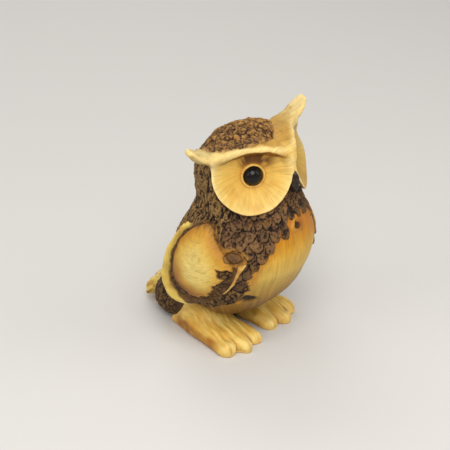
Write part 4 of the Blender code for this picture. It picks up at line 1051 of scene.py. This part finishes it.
for label, sd in (("right", -1), ("left", 1)):
    tweak = 0 if sd < 0 else 900
    table = WING if sd < 0 else WING_LEFT
    smooth_rim, rim_h = polar(table, ang) - 0.25, polar(table, ang, 2)
    rim_r = smooth_rim + rim_jitter
    # pad
    shares = np.concatenate([np.linspace(0.004, 0.80, 74), np.linspace(0.81, 1.0, 30)])
    radius = shares[:, None] * pad_edge[None, :]
    height = FLOOR + 0.3 + pad_profile(shares[:, None], rim_h[None, :])
    drop = np.linspace(0.25, 1.0, 5)
    radius = np.concatenate([radius] + [(pad_edge + 0.12 * math.sin(d * 3))[None, :] for d in drop])
    last = height[-1]
    height = np.concatenate([height] + [(last + (0.1 - last) * d)[None, :] for d in drop])
    yy, zz, base, out, hh = wing_points(radius, height, sd)
    q = sheet(len(radius), AROUND)
    dist = polygon_distance(np.stack([yy, zz], 1), PATCH) + 0.7 * noise(np.stack([yy, zz, 0 * yy], 1), 1.8, 160 + tweak)
    rough = step(0.5, -0.6, dist)
    flat = np.stack([yy, zz, 0 * yy], 1)
    share_all = np.concatenate([shares, np.ones(5)])[:, None] + 0 * ang[None, :]
    share_all = share_all.ravel()
    lumps = 0.30 * noise(flat, 7.5, 161 + tweak) + 0.10 * noise(flat, 3.0, 162 + tweak)
    c1, c2, ctag = cells(np.stack([yy, zz, 0 * yy + 0.3], 1), (1.9, 1.9, 1.9), 163 + tweak)
    grit = fbm(flat, 1.3, 164 + tweak, 3, 0.7)
    patch_h = 0.95 * np.clip((c2 - c1) / 0.4, 0, 1) * (0.4 + ctag) + 0.35 * grit - 1.15
    swirl = np.hypot(yy + 10, zz - 62)
    turn = np.arctan2(zz - 62, yy + 10)
    k1, k2, _ = cells(np.stack([yy + 0.5 * noise(flat, 1.2, 167), zz, 0 * yy + 0.3], 1), (1.7, 2.6, 2.0), 168 + tweak)
    curl = np.stack([swirl + 1.7 * noise(flat, 2.8, 181 + tweak), turn * 16 + 1.7 * noise(flat, 2.8, 182 + tweak), 0 * yy], 1)
    crackle = 0.95 * noise(curl, (0.55, 1.9, 1), 183 + tweak) + 0.40 * np.exp(-((k2 - k1) / 0.06) ** 2) * step(-0.1, 0.5, noise(flat, 4.0, 184 + tweak))
    hh = hh + lumps * (1 - rough) * step(1.0, 0.8, share_all) + rough * patch_h + 0.06 * crackle * (1 - rough)
    knot_h, kk = knot_relief(yy, zz, 0 * yy + 20 * sd)
    hh = hh + knot_h * 0.5
    v = base + out * hh[:, None]
    v0 = v.copy()
    low = hollow(v, q, 6)
    lowness = step(6, -12, zz - 43 + 0.35 * (yy + 12))
    rgb = ramp(share_all, [(0, (226, 208, 146)), (0.45, (224, 202, 132)), (0.7, (216, 182, 94)), (0.86, (196, 144, 52)), (0.96, (166, 110, 34)), (1.0, (132, 88, 34))])
    lower_left = step(45, 36, zz) * step(-21, -13, yy)
    rgb = mix(rgb, (154, 100, 22), lowness * step(0.50, 0.92, share_all) * 0.80)
    around_pad = np.arctan2(zz - WING_MID[1], yy - WING_MID[0])
    rgb = mix(rgb, (134, 80, 6), np.exp(-((around_pad + 0.85) / 0.95) ** 2) * step(0.28, 0.74, share_all + 0.06 * noise(flat, 2.0, 189 + tweak)) * 0.88)
    rgb = mix(rgb, (190, 128, 24), np.exp(-((around_pad + 0.70) / 1.2) ** 2) * step(0.16, 0.50, share_all) * (1 - step(0.5, 0.8, share_all)) * 0.55)
    rgb = mix(rgb, (222, 186, 104), np.exp(-((share_all - 0.965) / 0.020) ** 2) * lower_left * 0.60)
    topside = step(50, 60, zz)
    rgb = mix(rgb, (206, 152, 58), topside * 0.70)
    frontside = step(-17, -24, yy) * (1 - rough)
    rgb = mix(rgb, (214, 164, 72), frontside * 0.5)
    rgb = mix(rgb, (172, 134, 60), step(0.30, 0.90, crackle) * 0.30)
    rgb = mix(rgb, (240, 226, 168), step(0.30, 0.95, -crackle) * 0.26 * (1 - share_all))
    rgb = mix(rgb, (204, 154, 62), step(0.3, 0.9, fbm(flat, 6.0, 166 + tweak, 3)) * 0.28)
    rgb = mix(rgb, (112, 80, 46), step(57.0, 62.5, zz + 1.6 * noise(np.stack([yy, zz, 0 * yy], 1), (0.9, 3.0, 1.0), 185 + tweak)) * 0.75)
    rgb = hollow_shade_and_bump_highlight(rgb, low, 4.0, 0.72, 1.08)
    # painted shade: the rough patch's bark darkens in its hollows
    barky = bark_tone(np.clip(-low * 5.0 + 0.35 * grit - 0.15, -1, 1)) * 0.95
    rgb = mix(rgb, barky, rough)
    rgb = mix(rgb, (214, 168, 92), np.exp(-((dist - 0.5) / 0.45) ** 2) * (share_all < 0.97) * 0.55)
    rgb = mix(rgb, (112, 84, 62), (1 - step(0.6, 0.95, kk)) * 0.9)
    rgb = mix(rgb, (56, 36, 20), np.exp(-((kk - 1.0) / 0.13) ** 2) * 0.6)
    v[:, 0] *= -sd
    nrm = normals_of(v, q)
    if nrm[:AROUND, 0].mean() * sd < 0:
        q = q[:, ::-1]
    g = np.stack([swirl, turn * 16, 0 * yy], 1)
    piece(f"wing_pad_{label}_skin", v, q, rgb, g, [f"wing_pad_{label}"], WING_PAINT, rough)

    # base: the groove round the pad and the raised rim outside it
    width = np.maximum(smooth_rim - pad_r, 0.9)
    rim_y, rim_z = WING_MID[0] + smooth_rim * np.cos(ang), WING_MID[1] + smooth_rim * np.sin(ang)
    strip = step(-19.0, -23.0, rim_y) * step(31.0, 35.5, rim_z) * step(50.8, 47.6, rim_z)
    lowest = step(39, 33, rim_z)
    bare = np.maximum(1 - lowest * (1 - step(-10.0, -7.0, rim_y)), strip)
    knot_zone = step(-18.5, -21.5, rim_y) * step(47.8, 49.8, rim_z) * (1 if sd < 0 else 0)
    bare = bare * (1 - knot_zone)
    taper = lowest * step(0.5, -8.5, rim_y) * (1 - strip)
    front_top = step(-20, -24, rim_y) * step(47, 50, rim_z)
    rise = np.clip((width - 1.2) / 1.6, 0.12, 1.0) * (rim_h - FLOOR) * (0.55 + 0.45 * bare) * (1 - 0.40 * strip) * (1 - 0.72 * front_top) * (1 - 0.4 * taper)
    knots = np.array((-1.6, 0.0, 0.26, 0.40, 0.50, 0.60, 0.72, 0.86, 0.95, 1.0))
    lift = np.array((0.0, 0.10, 0.26, 0.38, 0.62, 0.90, 1.0, 0.96, 0.84, 0.55))
    rows = np.concatenate([[-1.6, -0.4], np.linspace(-0.02, 1.0, 40)])
    radius, height = [], []
    for t in rows:
        jitter = pad_jitter * (1 - step(0.0, 0.30, t)) + rim_jitter * step(0.66, 1.0, t)
        radius.append(pad_r + (width * t if t > 0 else t * 1.0) + jitter)
        height.append(FLOOR - 0.15 + rise * float(np.interp(t, knots, lift)))
    end = height[-1]
    for d in np.linspace(0.2, 1.0, 7):
        level = end + (-0.9 - end) * d
        bulge = 0.30 * noise(np.stack([circle[:, 0] * 30, circle[:, 1] * 30, level + 0 * ang], 1), (3.0, 3.0, 1.6), 177 + tweak)
        radius.append(pad_r + width * (1.0 - 0.03 * d) + rim_jitter * (1 - step(0.0, 0.8, d)) + bulge * step(0.0, 0.4, d))
        height.append(level)
    radius, height = np.array(radius), np.array(height)
    part = np.concatenate([rows, np.full(7, 1.05)])[:, None] + 0 * ang[None, :]
    part = part.ravel()
    yy, zz, base, out, hh = wing_points(radius, height, sd)
    flat = np.stack([yy, zz, 0 * yy], 1)
    on_rim = step(0.30, 0.55, part)
    lumps = 0.30 * noise(flat, 5.0, 170 + tweak) + 0.10 * noise(flat, 1.6, 171 + tweak)
    run = np.concatenate([0 * radius[:1], np.cumsum(np.hypot(np.diff(radius, axis=0), np.diff(height, axis=0)), 0)]).ravel()
    bare_all, strip_all, taper_all, knot_all = (np.tile(k, len(rows) + 7) for k in (bare, strip, taper, knot_zone))
    solid = base + out * hh[:, None]
    grit = fbm(solid, 1.5, 172 + tweak, 3, 0.7)
    wide = np.tile(np.clip((width - 1.0) / 2.5, 0, 1), len(rows) + 7)
    hh = hh + lumps * on_rim * (0.4 + 0.6 * wide) + (1 - on_rim * bare_all) * (0.30 * grit)
    knot_h, kk = knot_relief(yy, zz, 0 * yy + 20 * sd)
    hh = hh + knot_h
    v = base + out * hh[:, None]
    q = sheet(len(radius), AROUND)
    low = hollow(v, q, 5)
    rim_rgb = ramp(part, [(0.3, (146, 108, 54)), (0.52, (214, 188, 102)), (0.75, (232, 210, 124)), (1.0, (224, 200, 114)), (1.05, (198, 164, 88))])
    rim_rgb = mix(rim_rgb, (226, 206, 136), step(0.1, 0.9, noise(flat, 2.6, 173 + tweak)) * 0.35)
    rim_rgb = mix(rim_rgb, (178, 130, 62), step(0.25, 0.9, noise(solid, 3.0, 174 + tweak)) * 0.40)
    rim_rgb = mix(rim_rgb, mix((224, 186, 118), (196, 146, 82), step(-0.2, 0.6, noise(solid, 2.0, 186 + tweak))), strip_all * 0.85)
    rim_rgb = mix(rim_rgb, (126, 88, 48), step(0.1, 0.8, noise(solid, (1.6, 1.6, 1.2), 178 + tweak)) * (part > 1.01) * 0.35)
    # painted shade: the groove's bark darkens in its hollows
    groove_rgb = bark_tone(np.clip(-low * 5 + 0.45 * grit + 0.02, -1, 1))
    narrow = (1 - wide) * (1 - strip_all)
    pale = step(-0.035, 0.035, part - 0.47 - 0.50 * taper_all + 0.045 * noise(solid, 1.8, 176 + tweak)) * step(0.35, 0.65, bare_all + 0.20 * noise(solid, 1.6, 179 + tweak))
    pale = pale * (1 - step(0.25, 0.75, narrow))
    edge_rgb = mix(groove_rgb, (150, 104, 52), step(0.2, 0.8, noise(flat, 2.2, 175 + tweak)) * 0.6 * step(0.25, 0.75, narrow))
    edge_rgb = mix(edge_rgb, (158, 112, 54), knot_all * (0.62 + 0.38 * noise(solid, 1.5, 190 + tweak)))
    rgb = mix(edge_rgb, rim_rgb, pale)
    rgb = hollow_shade_and_bump_highlight(rgb, low, 4.0, 0.62, 1.14)
    rgb = mix(rgb, (112, 84, 62), (1 - step(0.6, 0.95, kk)) * 0.9)
    rgb = mix(rgb, (56, 36, 20), np.exp(-((kk - 1.0) / 0.13) ** 2) * (0.55 + 0.45 * noise(solid, 1.3, 188 + tweak)))
    rgb = mix(rgb, (190, 138, 62), np.exp(-((kk - 1.5) / 0.30) ** 2) * (0.65 + 0.35 * noise(solid, 1.5, 187 + tweak)))
    v[:, 0] *= -sd
    nrm = normals_of(v, q)
    if nrm[:AROUND * 20, 0].mean() * sd < 0:
        q = q[:, ::-1]
    g = np.stack([run, np.tile(ang * 16, len(rows) + 7), 0 * yy], 1)
    piece(f"wing_base_{label}_skin", v, q, rgb, g, [f"wing_base_{label}"], WING_PAINT, 1 - pale)


# ------------------------------------------------------------------ feet
def toe_field(X, Y, Z, start, tip, widths, heights):
    a, b = np.array(start, float), np.array(tip, float)
    length = np.linalg.norm(b - a)
    e = (b - a) / length
    along = (X - a[0]) * e[0] + (Y - a[1]) * e[1]
    across = (X - a[0]) * e[1] - (Y - a[1]) * e[0]
    s = np.clip(along / length, 0.0, 1.0)
    w = pchip((0, 0.5, 0.88, 1.0), (widths[0], widths[1], widths[2], widths[2] * 0.68), s)
    h = pchip((0, 0.35, 0.88, 1.0), (heights[0], heights[1], heights[2], heights[2] * 0.80), s)
    over = along - np.clip(along, 2.0, length - 2.6)
    zc, zr = (h - 1.5) / 2, (h + 1.5) / 2
    k = np.sqrt((across / w) ** 2 + ((Z - zc) / zr) ** 2 + (over / np.where(over > 0, 2.6, 2.0)) ** 2) + 1e-6
    return (k - 1) * np.minimum(w, zr), across, s


t_lo, t_hi = (-28.5, -30.5, -1.2), (-1.5, 19.5, 17.5)
gx, gy, gz = grid_axes(t_lo, t_hi, FOOT_STEP)
G = (gx[:, None, None], gy[None, :, None], gz[None, None, :])
foot_f = None
melt = 2.2 + 4.6 * step(-23.0, -12.0, G[1])
for toe in TOES:
    f, _, _ = toe_field(*G, *toe)
    foot_f = f if foot_f is None else smin(foot_f, f, melt)
WEB = ((-11.4, 12), (-15.3, -23.0), (6.0, 9.2, 9.8), (7.0, 9.4, 4.8))
foot_f = smin(foot_f, toe_field(*G, *WEB)[0], 2.6) + 0.10 * melt
k = np.sqrt(sum(((a - c) / r_) ** 2 for a, c, r_ in zip(G, ANKLE, ANKLE_R))) + 1e-6
foot_f = smin(foot_f, (k - 1) * 8.0, 2.2)
foot_f = smax(foot_f, -(G[2] - 0.02) + 0 * foot_f, 0.5)
foot_v, foot_q = skin(foot_f.astype(np.float32), t_lo, FOOT_STEP)
foot_v = spread(foot_v, foot_q, len(foot_v), 2, 0.4)
for label, sd in (("right", -1), ("left", 1)):
    p = foot_v.copy()
    tweak = 0 if sd < 0 else 700
    nrm = normals_of(p, foot_q)
    fields = [toe_field(p[:, 0], p[:, 1], p[:, 2], *toe) for toe in TOES]
    which = np.argmin(np.stack([f[0] for f in fields]), 0)
    across = np.choose(which, [f[1] for f in fields])
    share = np.choose(which, [f[2] for f in fields])
    gap = np.sort(np.stack([f[0] for f in fields]), 0)
    seam = np.exp(-((gap[1] - gap[0]) / 0.9) ** 2) * (0.25 * step(0.50, 0.75, share) + 0.75 * step(0.80, 0.96, share))
    _, fan, _ = toe_field(p[:, 0], p[:, 1], p[:, 2], *WEB)
    fan = fan * (1.35 - 0.30 * step(5, -20, p[:, 1]))
    q3 = np.stack([fan, p[:, 1], 0.3 * p[:, 2]], 1)
    carve = noise(q3, (1.5, 11.0, 1.0), 200 + tweak)
    fine = noise(q3, (0.8, 6.0, 1.0), 201 + tweak)
    claw = np.exp(-((share - 1.0) / 0.05) ** 2) * np.exp(-((across - 0.3) / 0.9) ** 2) * step(0.4, 1.6, p[:, 2])
    hump = noise(p, 4.2, 203 + tweak)
    relief = 0.20 * carve + 0.09 * fine - 0.50 * seam - 0.10 * claw + 0.50 * noise(p, 5.5, 202 + tweak) + 0.22 * hump
    sole = step(1.1, 0.3, p[:, 2])
    relief = relief * (1 - sole)
    v = p + nrm * relief[:, None]
    v[:, 2] = np.maximum(v[:, 2], 0.02)
    low = hollow(v, foot_q, 6)
    rgb = ramp(carve + 0.5 * fine, [(-1.2, (218, 166, 78)), (-0.3, (232, 192, 104)), (0.3, (240, 210, 130)), (1.2, (246, 224, 154))])
    rgb = mix(rgb, (218, 162, 68), step(0.1, 0.8, fbm(p, 6.0, 204 + tweak, 3)) * 0.35)
    outer = step(1.9, 3.6, across) * (which == 0) * step(7.4, 4.6, p[:, 2]) * step(0.04, 0.22, share) * (1 - step(0.76, 0.93, share))
    rgb = mix(rgb, (148, 88, 14), outer * 0.95 * (0.7 + 0.3 * noise(p, 3.0, 205 + tweak)))
    rgb = mix(rgb, (210, 152, 66), step(3.0, 0.6, p[:, 2]) * 0.40)
    rgb = mix(rgb, (248, 228, 170), step(0.78, 0.96, share) * 0.50)
    rgb = mix(rgb, (196, 140, 58), np.clip(seam * 0.60, 0, 1))
    rgb = mix(rgb, (146, 98, 44), np.clip(seam * step(0.86, 0.97, share) * step(0.6, 1.6, p[:, 2]), 0, 1) * 0.75)
    rgb = mix(rgb, (176, 124, 58), np.clip(claw * 0.30, 0, 1))
    rgb = mix(rgb, (190, 132, 54), step(4.0, 13.0, p[:, 1] + 2.5 * hump) * 0.15)
    rgb = mix(rgb, (206, 140, 48), step(0.35, 0.75, noise(p, 2.4, 206 + tweak)) * 0.22)
    rgb = hollow_shade_and_bump_highlight(rgb, low, 4.0, 0.74, 1.08)
    g = q3
    q = foot_q
    if sd > 0:
        v = v * np.array((-1, 1, 1))
        v[:, 1] += 2.0 * step(-6, -22, v[:, 1])
        q = q[:, ::-1]
    piece(f"foot_{label}_skin", v, q, rgb, g, [f"foot_{label}"], FOOT_PAINT)


# ------------------------------------------------------------------ tail
n_along, n_round = ((120, 340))
ys = np.linspace(19.5, TAIL[-1, 0], n_along)
half, under, over = (pchip(TAIL[:, 0], TAIL[:, i], np.maximum(ys, TAIL[0, 0])) for i in (1, 2, 3))
a = np.linspace(0, 2 * np.pi, n_round, endpoint=False)
c, s = np.cos(a), np.sin(a)
rings = []
for i, y0 in enumerate(ys):
    reach = np.clip((y0 - TAIL[0, 0]) / (TAIL[-1, 0] - TAIL[0, 0]), 0, 1)
    lobe = np.abs(np.sin(math.pi * 4 * (c + 1) / 2)) ** 0.7
    swell = 0.76 + 0.24 * lobe * (0.4 + 0.6 * reach) + 0.24 * (1 - lobe) * 0.4 * (1 - reach)
    end = math.sqrt(max(0.0, 1 - (max(0.0, i - (n_along - 14)) / 14.0) ** 2))
    zc, zr = (over[i] + under[i]) / 2, (over[i] - under[i]) / 2
    push = 2.0 * reach ** 2 * (lobe - 0.5) + 0.9 * noise(np.stack([c * 9, s * 3, 0 * c], 1), 1.6, 210) * reach
    rings.append(np.stack([half[i] * (0.35 + 0.65 * end) * c * (0.96 + 0.04 * swell), y0 + push - 0.3, zc + zr * (0.25 + 0.75 * end) * s * swell], 1))
v = np.concatenate(rings)
cap = v[-n_round:].mean(0) + np.array((0, 0.2, 0))
v = np.concatenate([v] + [cap + (v[-n_round:] - cap) * t for t in (0.66, 0.33, 0.05)])
rows_t = len(v) // n_round
q = sheet(rows_t, n_round)
nrm = normals_of(v, q)
if (nrm * (v - v.mean(0))).sum() < 0:
    q = q[:, ::-1]
    nrm = -nrm
flow = np.stack([v[:, 0], v[:, 1], 0 * v[:, 0]], 1)
relief = 0.55 * noise(flow, (1.7, 7.0, 1.0), 211) + 0.34 * noise(flow, (0.9, 3.5, 1.0), 212) + 0.70 * fbm(v, 3.2, 213, 3)
v = v + nrm * (relief * step(20, 24, v[:, 1]))[:, None] * 0.8
v[:, 2] = np.maximum(v[:, 2], 0.5)
low = hollow(v, q, 6)
rgb = ramp(noise(flow, (1.7, 7.0, 1.0), 211), [(-1, (178, 136, 66)), (-0.2, (212, 182, 104)), (0.4, (226, 204, 134)), (1, (236, 218, 160))])
rgb = mix(rgb, (112, 76, 38), step(0.25, 0.9, fbm(v, 2.6, 214, 3)) * 0.55)
rgb = mix(rgb, (96, 66, 38), step(27, 21, v[:, 1]) * 0.85)
rgb = mix(rgb, (168, 116, 52), step(6, 2, v[:, 2]) * 0.5)
rgb = hollow_shade_and_bump_highlight(rgb, low, 4.0, 0.50, 1.16)
piece("tail_skin", v, q, rgb, flow, ["tail"], TAIL_PAINT)

# ------------------------------------------------------------------ stage
mesh = bpy.data.meshes.new("floor")
mesh.from_pydata([(-3, -3, 0), (3, -3, 0), (3, 3, 0), (-3, 3, 0)], [], [(0, 1, 2, 3)])
floor = bpy.data.objects.new("floor", mesh)
bpy.context.scene.collection.objects.link(floor)
ground = bpy.data.materials.new("pale_floor")
ground.use_nodes = True
ground.node_tree.nodes["Principled BSDF"].inputs["Base Color"].default_value = (0.66, 0.65, 0.63, 1)
ground.node_tree.nodes["Principled BSDF"].inputs["Roughness"].default_value = 0.85
mesh.materials.append(ground)

scene = bpy.context.scene
scene.view_settings.view_transform = "Standard"
world = bpy.data.worlds.new("studio")
world.use_nodes = True
world.node_tree.nodes["Background"].inputs["Color"].default_value = (1.0, 0.985, 0.96, 1)
world.node_tree.nodes["Background"].inputs["Strength"].default_value = 0.42
scene.world = world

size = np.array(cad_hi) - np.array(cad_lo)
look = Vector(((cad_lo[0] + cad_hi[0]) / 2, (cad_lo[1] + cad_hi[1]) / 2, cad_lo[2] + size[2] * 0.472))


def softbox(name, azimuth, elevation, distance, width, watts, colour=(1, 1, 1)):
    a, e = math.radians(azimuth), math.radians(elevation)
    light = bpy.data.lights.new(name, "AREA")
    light.shape = "DISK"
    light.size = width
    light.energy = watts
    light.color = colour
    obj = bpy.data.objects.new(name, light)
    obj.location = look + Vector((math.sin(a) * math.cos(e), -math.cos(a) * math.cos(e), math.sin(e))) * distance
    obj.rotation_euler = (look - obj.location).to_track_quat("-Z", "Y").to_euler()
    scene.collection.objects.link(obj)


softbox("key", -44, 52, 0.75, 0.55, 4.1, (1.0, 0.975, 0.95))
softbox("fill", 30, 35, 0.80, 0.60, 1.0, (1.0, 0.98, 0.95))
softbox("side", -110, 30, 0.80, 0.60, 1.1, (1.0, 0.98, 0.95))
softbox("back", 150, 45, 0.80, 0.60, 1.5, (1.0, 0.98, 0.95))

azimuth, elevation, distance = math.radians(-50), math.radians(28), 0.5994
camera = bpy.data.objects.new("camera", bpy.data.cameras.new("camera"))
camera.data.sensor_width = 36.0
camera.data.lens = 1394 / 450 * 36.0
camera.data.clip_start = 0.01
camera.location = look + Vector((math.sin(azimuth) * math.cos(elevation), -math.cos(azimuth) * math.cos(elevation), math.sin(elevation))) * distance
camera.rotation_euler = (look - camera.location).to_track_quat("-Z", "Y").to_euler()
scene.collection.objects.link(camera)
scene.camera = camera
